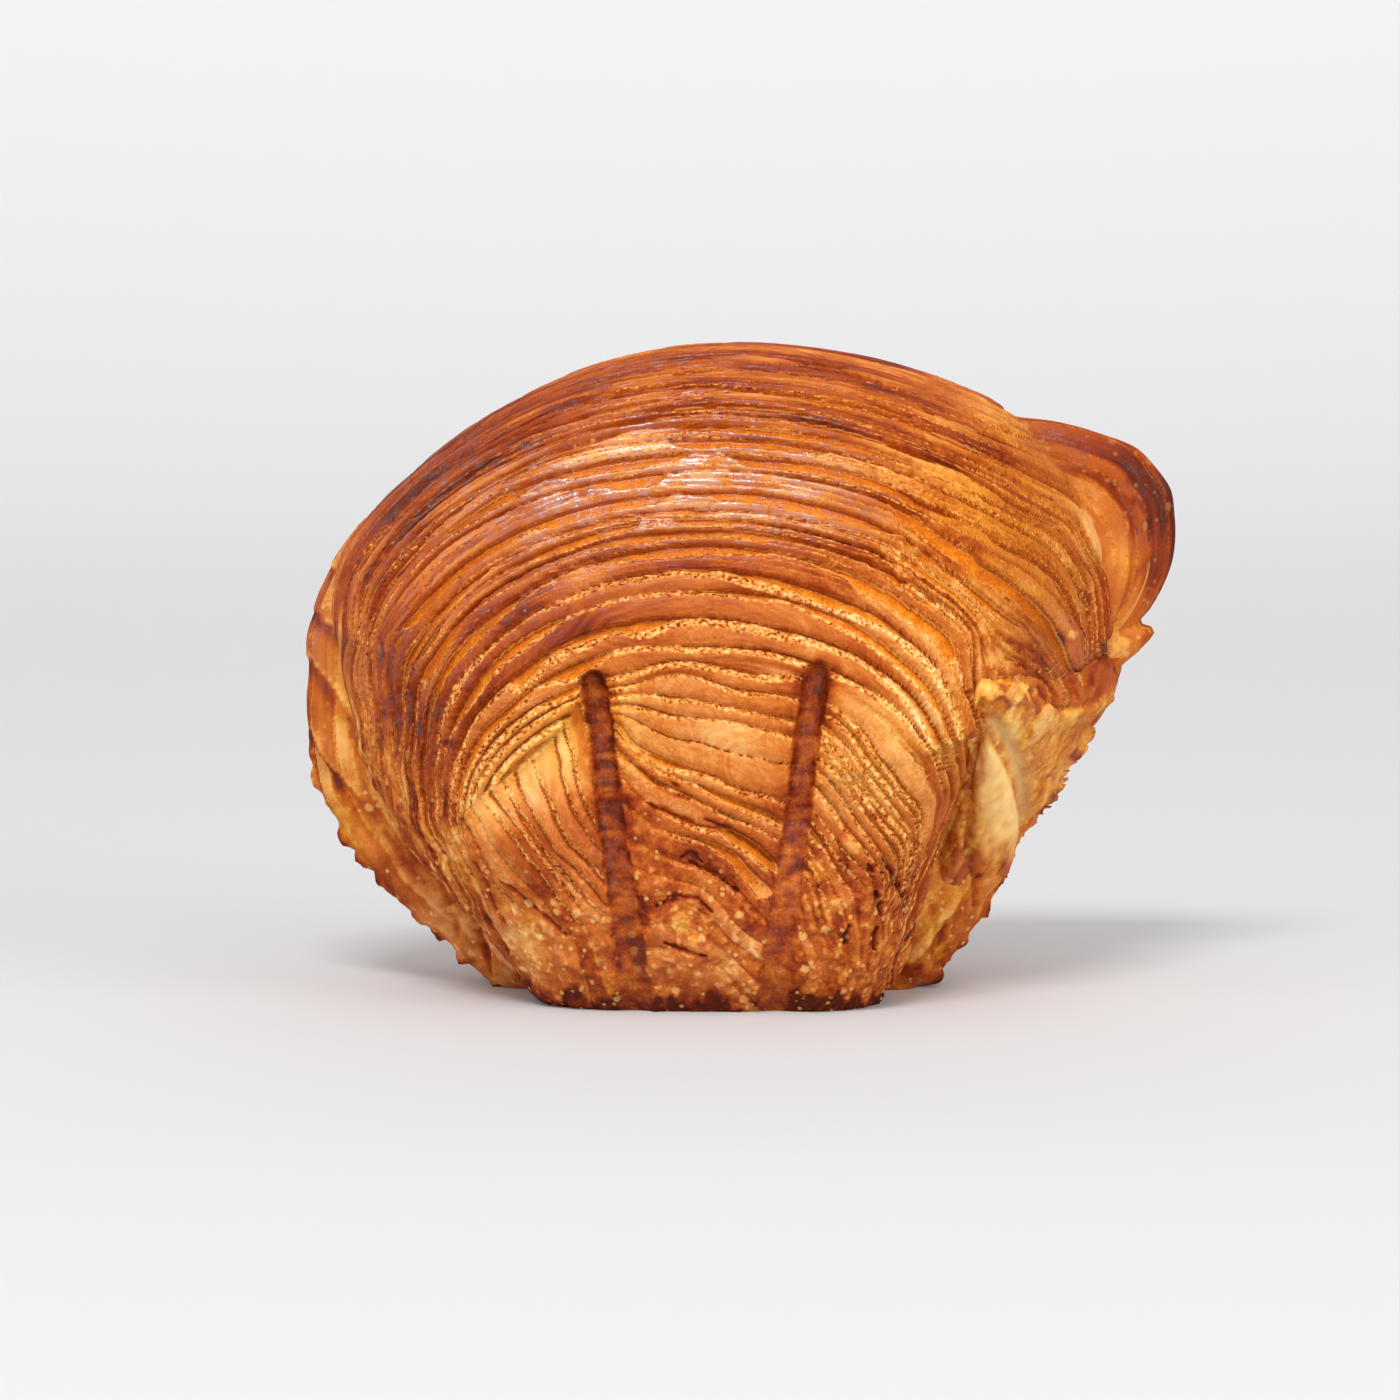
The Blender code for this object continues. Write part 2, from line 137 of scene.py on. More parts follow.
# How single stripes go on below the arcs: row of the arc's top, then points.
LOWER_STRIPES = (
    (400, ((352, 640), (352, 720), (362, 800), (385, 870))),
    (450, ((362, 690), (370, 760), (388, 840), (420, 910))),
    (510, ((400, 700), (398, 770), (420, 850), (455, 930))),
    (570, ((434, 754), (432, 800), (448, 850), (475, 902), (520, 980))),
    (655, ((462, 796), (463, 835), (490, 890), (540, 970))),
    (362, ((1123, 588), (1126, 660))),
    (400, ((1109, 640), (1112, 700))),
    (453, (
        (986, 530), (1005, 541), (1023, 550), (1041, 562), (1055, 577), (1066, 589),
        (1080, 612), (1089, 640), (1095, 690),
    )),
    (469, (
        (974, 550), (986, 567), (1010, 581), (1030, 597), (1047, 613), (1063, 634),
        (1074, 653), (1083, 674), (1088, 700),
    )),
    (491, (
        (930, 555), (946, 567), (963, 579), (990, 600), (1005, 613), (1023, 626), (1034, 639),
        (1045, 652), (1056, 668), (1066, 684), (1071, 704),
    )),
    (510, (
        (930, 572), (955, 590), (975, 610), (990, 632), (1005, 650), (1021, 661), (1037, 666),
        (1050, 677), (1060, 696),
    )),
    (529, ((930, 597), (950, 610), (963, 621), (973, 634), (977, 655), (979, 690))),
    (570, ((967, 757), (950, 836), (925, 900), (895, 960))),
    (655, ((935, 790), (934, 830), (912, 890), (882, 960))),
    (680, ((835, 710), (875, 757), (906, 793), (922, 827), (916, 862), (892, 925))),
    (715, ((835, 746), (869, 788), (895, 822), (910, 855), (902, 895))),
    (755, ((843, 788), (869, 825), (890, 854), (896, 885), (880, 945))),
    (800, ((830, 820), (860, 860), (876, 900), (866, 965))),
    (850, ((815, 850), (835, 890), (850, 940), (846, 1000))),
    (905, ((800, 880), (815, 930), (818, 1000))),
)

# The same between the two grooves.
CENTRE_STRIPES = (
    (660, ((609, 675), (650, 665), (701, 661), (765, 672))),
    (697, ((609, 694), (671, 694), (732, 704), (796, 713))),
    (717, ((609, 707), (671, 713), (732, 722), (786, 737))),
    (771, ((614, 722), (631, 741), (659, 758), (706, 772), (742, 786), (779, 798))),
    (803, ((621, 753), (647, 777), (678, 793), (701, 803), (741, 819), (772, 836))),
    (822, ((626, 781), (647, 800), (671, 810), (697, 822), (732, 832), (760, 848))),
    (842, ((635, 815), (654, 829), (678, 838), (699, 843), (723, 850), (751, 870))),
    (868, ((650, 850), (678, 860), (709, 869), (732, 881), (746, 900))),
    (908, ((640, 895), (678, 900), (701, 911), (730, 940))),
    (955, ((630, 945), (680, 945), (720, 965), (750, 1000))),
)

# The corner lobe at the lower left has stripes of its own, numbered across them.
LOBE_STRIPES = (
    (0, ((459, 829), (480, 870), (500, 909), (521, 946), (540, 985))),
    (20, ((466, 812), (489, 847), (516, 880), (544, 912), (570, 950))),
    (45, ((480, 792), (500, 818), (520, 846), (548, 878), (590, 925))),
    (68, ((500, 776), (512, 800), (535, 838), (560, 868), (600, 912))),
    (90, ((526, 762), (532, 790), (545, 824), (562, 852), (604, 895))),
    (112, ((552, 742), (556, 770), (566, 800), (582, 830), (606, 862))),
    (135, ((578, 722), (582, 750), (590, 780), (600, 815))),
)
LOBE_CREASE = (
    (600, 672), (576, 708), (556, 736), (532, 760), (505, 780), (482, 796), (462, 818),
    (440, 850),
)
LOBE_SIDE = ((452, 790), (461, 826), (474, 870), (496, 925), (520, 975), (540, 1030))

GROOVE_LINES = (
    ((592, 682), (600, 730), (615, 850), (626, 920), (636, 1010)),
    ((818, 674), (808, 730), (796, 830), (784, 920), (772, 1000)),
)
# Half width, and depth at the top and at the foot, in millimetres.
GROOVE_HALF = 1.95
GROOVE_DEPTHS = (2.3, 0.8)

# Layers of the dome: row of the gap above each at x = 700, then in view points how wide
# that gap and the crumbly edge below it are, and how much darker the layer is.
DOME_LAYERS = (
    (359, 3, 1, 0.10), (370, 2, 2, 0.0), (386, 3, 2, 0.06), (397, 1, 3, 0.16),
    (409, 2, 2, 0.0), (424, 2.5, 2, 0.02), (437, 3, 2, 0.0), (453, 3, 2, 0.05),
    (469, 2.5, 3, 0.0), (491, 3, 2, -0.04), (510, 1, 2, 0.0), (519, 2, 2, 0.05),
    (529, 3, 3, 0.02), (546, 3, 3, 0.10), (570, 2.5, 10, 0.06), (590, 3, 5, 0.12),
    (616, 3, 9, 0.05), (641, 2, 7, 0.05), (661, 2, 9, 0.0), (679, 2, 5, 0.0), (699, 2, 6, 0.0),
    (720, 2, 5, 0.05), (741, 2, 6, 0.0), (762, 2, 6, 0.08), (784, 2, 6, 0.0), (806, 2, 6, 0.0),
    (830, 2, 6, 0.0), (1100, 2, 6, 0.0),
)
CENTRE_LAYERS = (
    (300, 2, 5, 0.0), (640, 2, 6, 0.0), (661, 2, 9, 0.02), (680, 2, 6, 0.02), (699, 2, 4, 0.0),
    (717, 2.5, 4, -0.08), (746, 0.5, 1, -0.04), (771, 3, 4, 0.0), (787, 1, 3, 0.03),
    (803, 3.5, 4, 0.05), (822, 3.5, 4, 0.08), (842, 3.5, 4, 0.08), (868, 4, 5, 0.10),
    (887, 3, 5, 0.08), (908, 4, 5, 0.08), (930, 3, 5, 0.05), (955, 3, 5, 0.05),
    (1100, 2, 5, 0.0),
)
# Steps between layers that chance places: view points, for the back sheet millimetres.
TOP_STEP, FINE_STEP, RIGHT_STEP, LOBE_STEP, BACK_STEP = 13.0, 6.5, 17.0, 16.0, 2.3
# How fast the stripes move on where the sheet turns away to the back, around its edge.
CREEP = (
    (0, 3.5), (12, 3.0), (19, 0.5), (35, 0.0), (60, 3.4), (155, 3.4), (175, 2.5), (200, 3.0),
    (250, 3.5), (300, 3.5),
)
TOP_FROM_Y = -16.0

# Amber openings between layers: row, from x, to x, widest in view points.
OPENINGS = (
    (386, 560, 660, 5), (409, 730, 900, 5), (424, 470, 560, 7), (437, 690, 830, 8),
    (453, 545, 690, 10), (453, 735, 960, 6), (469, 972, 1086, 10), (453, 984, 1078, 7),
    (491, 955, 1040, 8), (491, 690, 900, 9), (491, 430, 530, 8), (510, 900, 1000, 8),
    (519, 540, 640, 9), (529, 640, 800, 5), (546, 600, 770, 8), (546, 420, 520, 8),
    (570, 735, 910, 7), (590, 790, 980, 7), (590, 450, 540, 8), (616, 545, 655, 5),
    (616, 900, 975, 6), (641, 440, 540, 6),
)


# ==================== small mathematics
def around(angle, knots):
    """A smooth closed curve through (degrees, value) knots that never overshoots them."""
    at = np.array([knot[0] for knot in knots], float)
    value = np.array([knot[1] for knot in knots], float)
    at = np.concatenate([at[-2:] - 360, at, at[:2] + 360])
    value = np.concatenate([value[-2:], value, value[:2]])
    step = np.diff(value) / np.diff(at)
    slope = np.zeros(len(at))
    same_way = step[:-1] * step[1:] > 0
    mean = 2 * step[:-1] * step[1:] / np.where(same_way, step[:-1] + step[1:], 1)
    slope[1:-1] = np.where(same_way, mean, 0)
    angle = np.mod(angle, 360)
    i = np.clip(np.searchsorted(at, angle) - 1, 0, len(at) - 2)
    width = at[i + 1] - at[i]
    t = (angle - at[i]) / width
    rise = value[i + 1] - value[i]
    bend = slope[i] * width - rise
    lift = rise - slope[i + 1] * width
    return value[i] + rise * t + t * (1 - t) * (bend * (1 - t) + lift * t)


def smooth_step(low, high, x):
    t = np.clip((x - low) / (high - low), 0, 1)
    return t * t * (3 - 2 * t)


def bump(x, width):
    return np.exp(-((x / width) ** 2))


SCRAMBLE_PRIMES = (73856093, 19349663, 83492791, 2654435761)


def scramble(*whole):
    """A number from 0 to 1 for each set of whole numbers, the same on each run."""
    mixed = np.zeros(whole[0].shape, np.uint64)
    for value, prime in zip(whole, SCRAMBLE_PRIMES):
        mixed ^= (value.astype(np.int64) * prime).astype(np.uint64) & np.uint64(0xFFFFFFFF)
        mixed = (mixed * np.uint64(2246822519) + np.uint64(374761393)) & np.uint64(0xFFFFFFFF)
        mixed ^= mixed >> np.uint64(15)
    mixed = (mixed * np.uint64(3266489917)) & np.uint64(0xFFFFFFFF)
    mixed ^= mixed >> np.uint64(16)
    return mixed.astype(np.float64) / 4294967295.0


def noise(seed, *coordinates):
    """Smooth noise from -1 to 1 in one, two or three dimensions."""
    whole = [np.floor(c).astype(np.int64) for c in coordinates]
    part = [c - w for c, w in zip(coordinates, whole)]
    part = [p * p * (3 - 2 * p) for p in part]
    seeds = np.full(whole[0].shape, seed, np.int64)
    total = np.zeros(whole[0].shape)
    for corner in range(2 ** len(whole)):
        weight = np.ones(whole[0].shape)
        at = []
        for axis, (w, p) in enumerate(zip(whole, part)):
            far = (corner >> axis) & 1
            at.append(w + far)
            weight = weight * (p if far else 1 - p)
        total += weight * scramble(*at, seeds)
    return 2 * total - 1


def rough_noise(seed, *coordinates):
    """Three octaves of noise, from about -1 to 1."""
    total = np.zeros(coordinates[0].shape)
    for octave in range(3):
        scaled = [c * 2**octave for c in coordinates]
        total += noise(seed + 31 * octave, *scaled) / 2**octave
    return total / 1.4


def speckle(seed, size, x, y, z):
    """Noise without a visible grid: two turned lattices together."""
    u, v = 0.8 * x + 0.6 * z, 0.8 * z - 0.6 * x
    one = noise(seed, u / size, v / size, y / size)
    u, v = 0.28 * x - 0.96 * z, 0.28 * z + 0.96 * x
    two = noise(seed + 1, u / size, v / size, y / size + 0.5)
    return 0.7 * (one + two)


# The plate's unit in view points, and how far it may pass beside its values.
PLATE_UNIT, PLATE_SLACK = 100, 2e-3


def plate_fit(points, values):
    """A thin plate through values at points, as a function of X and Y."""
    points = np.array(points, float) / PLATE_UNIT
    values = np.array(values, float)
    count = len(points)
    square = ((points[:, None] - points[None]) ** 2).sum(2)
    bend = 0.5 * square * np.log(square + 1e-12) + PLATE_SLACK * np.eye(count)
    flat = np.concatenate([np.ones((count, 1)), points], 1)
    system = np.block([[bend, flat], [flat.T, np.zeros((3, 3))]])
    right = np.concatenate([values, np.zeros((3, values.shape[1]))])
    weights = np.linalg.solve(system, right)

    def plate(x, y):
        at = np.stack([x, y], 1) / PLATE_UNIT
        out = weights[count] + at @ weights[count + 1:]
        for point, weight in zip(points, weights[:count]):
            square = ((at - point) ** 2).sum(1)
            out = out + (0.5 * square * np.log(square + 1e-12))[:, None] * weight
        return out

    return plate


def along(points):
    """Length in millimetres at each point of a line of view points."""
    points = np.array(points, float)
    steps = np.hypot(*np.diff(points, axis=0).T)
    return np.concatenate([[0], np.cumsum(steps)]) / PER_MM


def line_distance(x, y, points):
    """Signed distance to a line in view points (positive at its right), and the share along it."""
    best = np.full(x.shape, 1e9)
    side = np.zeros(x.shape)
    share = np.zeros(x.shape)
    points = np.array(points, float)
    lengths = np.hypot(*np.diff(points, axis=0).T)
    total = lengths.sum()
    done = 0
    for (ax, ay), (bx, by), length in zip(points[:-1], points[1:], lengths):
        dx, dy = (bx - ax) / length, (by - ay) / length
        s = (x - ax) * dx + (y - ay) * dy
        inside = np.clip(s, 0, length)
        away = np.hypot(x - ax - inside * dx, y - ay - inside * dy)
        nearer = away < best
        cross = (x - ax) * dy - (y - ay) * dx
        side = np.where(nearer, np.sign(cross), side)
        lowest = -1e9 if done == 0 else 0
        share = np.where(nearer, (done + np.clip(s, lowest, length)) / total, share)
        best = np.minimum(best, away)
        done += length
    return best * side, share


# ==================== stripe field
def arc_points(row, arcs, sign):
    half = np.interp(row, [a[0] for a in arcs], [a[1] for a in arcs])
    high = np.interp(row, [a[0] for a in arcs], [a[2] for a in arcs])
    turns = np.radians(np.array(ARC_TURNS, float))
    x = ARC_TOP_X + sign * half * np.sin(turns)
    y = row + high * (1 - np.cos(turns))
    return list(zip(x, y))


def lines_with_lengths(stripes):
    """Points of plain guide lines, with the stripe number and the length so far."""
    points, values = [], []
    for row, line in stripes:
        points += line
        values += [(row, done) for done in along(line)]
    return points, values


def guide_points():
    """The same for the dome: its arcs, and how they go on below them."""
    points, values = [], []
    ends = {}
    for row in ARC_ROWS:
        for sign, arcs in ((1, RIGHT_ARCS), (-1, LEFT_ARCS)):
            line = arc_points(row, arcs, sign)
            lengths = along(line)
            ends[(row, sign)] = (line[-1], sign * lengths[-1])
            start = 0 if sign > 0 else 1
            for point, length in list(zip(line, lengths))[start:]:
                if WALL_ROWS[0] < row < WALL_ROWS[1] and point[0] > WALL_FROM_X:
                    continue
                points.append(point)
                values.append((row, sign * length))
    for row, line in LOWER_STRIPES:
        sign, start = stripe_start(row, line[0], ends)
        for point, length in zip(line, along(line)):
            points.append(point)
            values.append((row, start + sign * length))
    return points, values


def stripe_start(row, first, ends):
    """Which way the length of a lower stripe grows, and what it is at the first point."""
    x, y = first
    if row > ARC_ROWS[-1] or SIDES_BEYOND_X[0] <= x <= SIDES_BEYOND_X[1]:
        return 1, RIGHT_GROOVE_LENGTH if x > RIGHT_GROOVE_X else (x - ARC_TOP_X) / PER_MM
    sign = 1 if x > ARC_TOP_X else -1
    if (row, sign) not in ends:
        return sign, sign * SIDE_LENGTH
    (end_x, end_y), end = ends[(row, sign)]
    return sign, end + sign * math.hypot(x - end_x, y - end_y) / PER_MM


# The grid on which a field is kept, in view points.
GRID_X, GRID_Y, GRID_STEP = (280, 1212), (300, 1052), 4.0
SLOPE_STEP, LEAST_SLOPE = 3, 0.25


def field_grid(points, values):
    """The fitted field on a grid of the view, to be read between its points."""
    plate = plate_fit(points, values)
    xs, ys = np.arange(*GRID_X, GRID_STEP), np.arange(*GRID_Y, GRID_STEP)
    gx, gy = np.meshgrid(xs, ys)
    found = plate(gx.ravel(), gy.ravel()).reshape(len(ys), len(xs), -1)
    return xs, ys, found


def read_grid(grid, x, y):
    xs, ys, found = grid
    fx = np.clip((x - xs[0]) / GRID_STEP, 0, len(xs) - 1.001)
    fy = np.clip((y - ys[0]) / GRID_STEP, 0, len(ys) - 1.001)
    i, j = fx.astype(int), fy.astype(int)
    fx, fy = (fx - i)[:, None], (fy - j)[:, None]
    top = found[j, i] * (1 - fx) + found[j, i + 1] * fx
    low = found[j + 1, i] * (1 - fx) + found[j + 1, i + 1] * fx
    return top * (1 - fy) + low * fy


def read_field(grid, x, y):
    """Stripe number, length along it, and millimetres across one unit of the number."""
    here = read_grid(grid, x, y)
    right = read_grid(grid, x + SLOPE_STEP, y)
    down = read_grid(grid, x, y + SLOPE_STEP)
    steep = np.hypot(right[:, 0] - here[:, 0], down[:, 0] - here[:, 0]) / SLOPE_STEP
    return here[:, 0], here[:, 1], 1 / (PER_MM * np.maximum(steep, LEAST_SLOPE))


def view_of(x, y, z):
    """Where X, Y, Z is seen, in points of the view."""
    dx, dy, dz = x - TARGET[0], y - TARGET[1], z - TARGET[2]
    up = dy * math.sin(ELEVATION) + dz * math.cos(ELEVATION)
    away = DISTANCE + dy * math.cos(ELEVATION) - dz * math.sin(ELEVATION)
    half = VIEW_SIZE / 2
    return half + FOCAL * dx / away, half - FOCAL * up / away


def place_in_view(px, py, y):
    """X and Z of what is seen at a point of the view and lies at depth Y."""
    dy = y - TARGET[1]
    share = (VIEW_SIZE / 2 - py) / FOCAL
    sine, cosine = math.sin(ELEVATION), math.cos(ELEVATION)
    dz = (share * (DISTANCE + dy * cosine) - dy * sine) / (cosine + share * sine)
    away = DISTANCE + dy * cosine - dz * sine
    return TARGET[0] + (px - VIEW_SIZE / 2) * away / FOCAL, TARGET[2] + dz


# ==================== layers
def random_layers(first, last, step, gap, crumb, seed):
    """A table like DOME_LAYERS, with uneven steps."""
    rng = np.random.default_rng(seed)
    table = []
    row = first
    while row < last:
        darker = 0.16 * (rng.random() - 0.5)
        table.append((row, gap * (0.5 + rng.random()), crumb * (0.4 + 1.2 * rng.random()), darker))
        row += step * (0.6 + rng.gamma(3.0, 0.135))
    return table


def bend_stripes(number, length, per_unit, wander, seed):
    """The stripe number with slow bends, so that no stripe runs quite true."""
    bend = wander / np.clip(per_unit, 0.1, 1.0)
    shifted = number + bend * noise(seed, length / 26, number / 50)
    return shifted + 0.5 * bend * noise(seed + 1, length / 7, number / 22)


def find_layer(rows, shifted, length, loose, seed):
    """The layer that each point is on, and the stripe numbers of its two edges there."""
    last = len(rows) - 1
    room = np.minimum(np.diff(rows, prepend=rows[0] - 10), np.diff(rows, append=rows[-1] + 10))

    def edge_row(index):
        index = np.clip(index, 0, last)
        sway = noise(seed + 30, index * 7.7, length / 10)
        sway += 0.25 * noise(seed + 31, index * 3.3, length / 3.5)
        return rows[index] + loose * room[index] * sway

    k = np.clip(np.searchsorted(rows, shifted), 1, last)
    k = k + (shifted > edge_row(k)) - (shifted < edge_row(k - 1))
    k = np.clip(k, 1, last)
    return k, edge_row(k - 1), edge_row(k)


def opening(index, length, seed):
    """How far the gap above a layer is open, from place to place along it."""
    slow = noise(seed + 7, index * 3.71, length / 10)
    fast = noise(seed + 8, index * 5.13, length / 3.0)
    return np.clip(0.6 + 0.7 * slow + 0.15 * fast, 0, 1.3)


def shown_openings(px, row_above):
    """Width in millimetres of the openings that the view shows under the layer above."""
    wide = np.zeros(px.shape)
    for row, left, right, widest in OPENINGS:
        middle, half = (left + right) / 2, (right - left) / 2
        lens_shape = np.clip(1 - ((px - middle) / half) ** 2, 0, 1) ** 0.7
        wide = np.maximum(wide, lens_shape * (row_above == row) * widest / PER_MM)
    return wide


def layers(
    number, length, per_unit, table, seed,
    wander=0.24, open_more=0.0, px=None, steep=1.0, deep=1.0, loose=0.3,
):
    """Relief and marks of a stack of layers whose edges show as stripes.

    From its upper edge down, each layer has a dark gap, where it has opened an amber
    floor, then a crumbly pale edge, and then its smooth cut band. The gap's darkness is
    partly painted shade under the layer above, partly the browner dough inside. Wander
    bends all stripes together, loose sways each one, open_more opens more of them, and
    steep and deep are shares of the usual height and of the usual depth of the gaps.
    """
    rows, gap_of, crumb_of, dark_of = np.array(table, float).T
    shifted = bend_stripes(number, length, per_unit, wander, seed)
    k, above, below = find_layer(rows, shifted, length, loose, seed)
    thick = np.maximum((below - above) * per_unit, 0.05)
    narrow = np.clip(thick / 1.9, 0.15, 1)
    grit = noise(seed + 2, length / 0.8, shifted * per_unit / 0.7)
    ragged = (0.11 * grit + 0.13 * noise(seed + 3, length / 1.7, shifted * per_unit)) * narrow
    from_top = (shifted - above) * per_unit + ragged
    from_foot = (below - shifted) * per_unit - ragged
    opened = opening(k, length, seed)
    gap_wide = (0.08 + gap_of[k - 1] / PER_MM * opened) * narrow
    lens = np.clip(1.3 * noise(seed + 9, k * 2.93, length / 9) + open_more - 0.35, 0, 0.6)
    floor_wide = 0.8 * lens * thick
    if px is not None:
        floor_wide = np.maximum(floor_wide, shown_openings(px, rows[k - 1]))
    floor_wide = np.minimum(floor_wide, 0.62 * thick)
    pale = noise(seed + 13, k * 2.3, length / 6)
    crumb_wide = np.minimum(crumb_of[k - 1] / PER_MM * (0.8 + 0.4 * pale), 0.6 * thick)
    edge = gap_wide + floor_wide

    # core is the gap, which the material paints dark: partly shade under the layer above, partly
    # the browner dough inside.
    core = smooth_step(gap_wide + 0.14, gap_wide * 0.4, from_top) * np.clip(opened * 1.6, 0, 1)
    opened_below = np.clip(opening(k + 1, length, seed), 0, 1)
    core = np.maximum(core, 0.8 * smooth_step(0.2, 0.0, from_foot) * opened_below)
    floor = smooth_step(edge + 0.08, edge - 0.06, from_top) * np.clip(floor_wide / 0.15, 0, 1)
    floor = floor * (1 - 0.8 * core)
    crumb = smooth_step(edge - 0.06, edge + 0.05, from_top)
    crumb = crumb * smooth_step(edge + 1.2 * crumb_wide + 0.16, edge + 0.6 * crumb_wide, from_top)
    satin = smooth_step(edge + crumb_wide - 0.1, edge + crumb_wide + 0.2, from_top)

    tone = 1.15 * dark_of[k - 1] + 0.17 * noise(seed + 18, k * 4.1, length / 9)
    lines = noise(seed + 19, shifted * per_unit / 0.3, length / 16)
    lines += 0.8 * noise(seed + 20, shifted * per_unit / 0.7, length / 9)

    high = np.minimum(0.30 * thick, 0.65) * steep
    rise = smooth_step(edge - 0.1, edge + crumb_wide + 0.25, from_top)
    height = high * (rise - 0.6)
    height -= 0.55 * high * smooth_step(0.35 * thick, 0, from_foot)
    height -= deep * (0.16 + 0.40 * np.clip(opened, 0, 1)) * core * narrow
    floor_share = np.clip((from_top - gap_wide) / np.maximum(floor_wide, 0.05), 0, 1)
    height -= (0.62 - 0.30 * floor_share) * floor * narrow
    height += 0.06 * crumb * (0.3 + grit)
    height += 0.02 * lines * narrow
    return {
        "height": height, "gap": core, "floor": floor, "crumb": crumb, "satin": satin,
        "tone": tone, "lines": lines, "share": np.clip(from_top / thick, 0, 1), "grit": grit,
        "across": shifted * np.median(per_unit), "along": length, "floor_share": floor_share,
    }


def blend_layers(base, over, weight):
    return {key: base[key] * (1 - weight) + over[key] * weight for key in base}


def add_fine_layers(base, fine, weight):
    """Thinner flakes on top of the layers, without washing those out."""
    base["height"] = base["height"] + 0.45 * weight * fine["height"]
    base["tone"] = base["tone"] + 0.7 * weight * fine["tone"]
    base["gap"] = np.maximum(base["gap"], 0.75 * weight * fine["gap"])
    base["crumb"] = np.maximum(base["crumb"], 0.8 * weight * fine["crumb"])
    base["satin"] = base["satin"] * (1 - weight * (1 - fine["satin"]))


# ==================== base surfaces
def swelling_at(x, z):
    out = np.zeros_like(x)
    for cx, cz, across, up, lean, depth in SWELLINGS:
        a = math.radians(lean)
        u = (x - cx) * math.cos(a) + (z - cz) * math.sin(a)
        v = -(x - cx) * math.sin(a) + (z - cz) * math.cos(a)
        out += depth * np.exp(-0.5 * ((u / across) ** 2 + (v / up) ** 2))
    return out


def front_reach(turn, angle):
    inner = around(angle, INNER_RING)
    within = np.clip(turn / INNER_TURN, 0, 1)
    beyond = np.clip((turn - INNER_TURN) / (1 - INNER_TURN), 0, 1)
    spread = around(angle, FRONT_OUTLINE) - inner
    return inner * within + spread * np.sin(0.5 * math.pi * beyond)


def front_face_y(x, z, share, angle):
    edge = around(angle, FRONT_EDGE_Y)
    square = around(angle, FRONT_SQUARENESS)
    roundness = np.sqrt(np.clip(1 - np.clip(share, 0, 1) ** square, 0, 1))
    past = np.hypot(x - HUB[0], z - HUB[1]) - around(angle, CORNER_AT)
    slant = 0.5 * (past + np.hypot(past, CORNER_ROUNDING)) * around(angle, CORNER_SLANT)
    slant = slant * smooth_step(*FLAT_ROUND_HUB, share)
    face = np.minimum(FRONT_Y + slant - swelling_at(x, z), edge)
    return edge + (face - edge) * roundness


def front_surface(turn, angle):
    """X, Y, Z: turn is 0 at HUB, 1 at the edge, and goes on to 2 behind, inside the dough."""
    facing = np.clip(turn, 0, 1)
    reach = front_reach(facing, angle)
    x = reach * np.cos(np.radians(angle))
    z = reach * np.sin(np.radians(angle))
    y = front_face_y(HUB[0] + x, HUB[1] + z, reach / around(angle, FRONT_OUTLINE), angle)
    behind = np.clip(turn - 1, 0, 1)
    shrink = np.cos(0.5 * math.pi * behind) ** HIDDEN_FULLNESS
    y += np.sin(0.5 * math.pi * behind) * around(angle, FRONT_BACKING)
    return HUB[0] + x * shrink, y, HUB[1] + z * shrink


def pleats_at(angle):
    turn = (angle - PLEATS_FROM) / (PLEATS_TO - PLEATS_FROM)
    inside = smooth_step(0, 0.08, turn) * smooth_step(1, 0.92, turn)
    return inside * np.cos(2 * math.pi * PLEAT_COUNT * turn)


def back_surface(turn, angle):
    """X, Y, Z: turn is 0 at the middle of the near side, 1 at the edge, 2 at the back."""
    facing = turn < 1
    share = np.sin(0.5 * math.pi * np.where(facing, turn, 2 - turn))
    wave = pleats_at(angle)
    reach = (around(angle, BACK_OUTLINE) + PLEAT_DEPTH * 0.5 * wave) * share
    roundness = np.sqrt(np.clip(1 - share ** around(angle, BACK_SQUARENESS), 0, 1))
    edge = around(angle, BACK_EDGE_Y)
    near = edge - around(angle, BACK_LIP) * roundness - PLEAT_DEPTH * wave * share**3
    far = edge + (BACK_Y - edge) * roundness
    x = HUB[0] + reach * np.cos(np.radians(angle))
    z = HUB[1] + reach * np.sin(np.radians(angle))
    return x, np.where(facing, near, far), z


# ==================== meshes
FEWEST_ON_RING = 32


def ring_sizes(turns, most, reach, finest=0.42):
    """Vertices on each ring: doubled as the rings grow, never more than most."""
    sizes = []
    for turn in turns:
        size = FEWEST_ON_RING
        while size < most and 2 * math.pi * reach * min(turn, 2 - turn) / size > finest:
            size *= 2
        sizes.append(size)
    return sizes


def join_rings(start_a, count_a, start_b, count_b):
    """Triangles between two rings whose counts are equal or differ twofold."""
    few, many = min(count_a, count_b), max(count_a, count_b)
    j = np.arange(few)
    if count_a == count_b:
        a, a2 = start_a + j, start_a + (j + 1) % few
        b, b2 = start_b + j, start_b + (j + 1) % few
        return np.concatenate([np.stack([a, b, b2], 1), np.stack([a, b2, a2], 1)])
    small, big = (start_a, start_b) if count_a < count_b else (start_b, start_a)
    s, s2 = small + j, small + (j + 1) % few
    m, m1, m2 = big + 2 * j, big + 2 * j + 1, big + (2 * j + 2) % many
    faces = np.concatenate(
        [np.stack([s, m, m1], 1), np.stack([s, m1, s2], 1), np.stack([s2, m1, m2], 1)]
    )
    return faces if count_a < count_b else faces[:, ::-1]


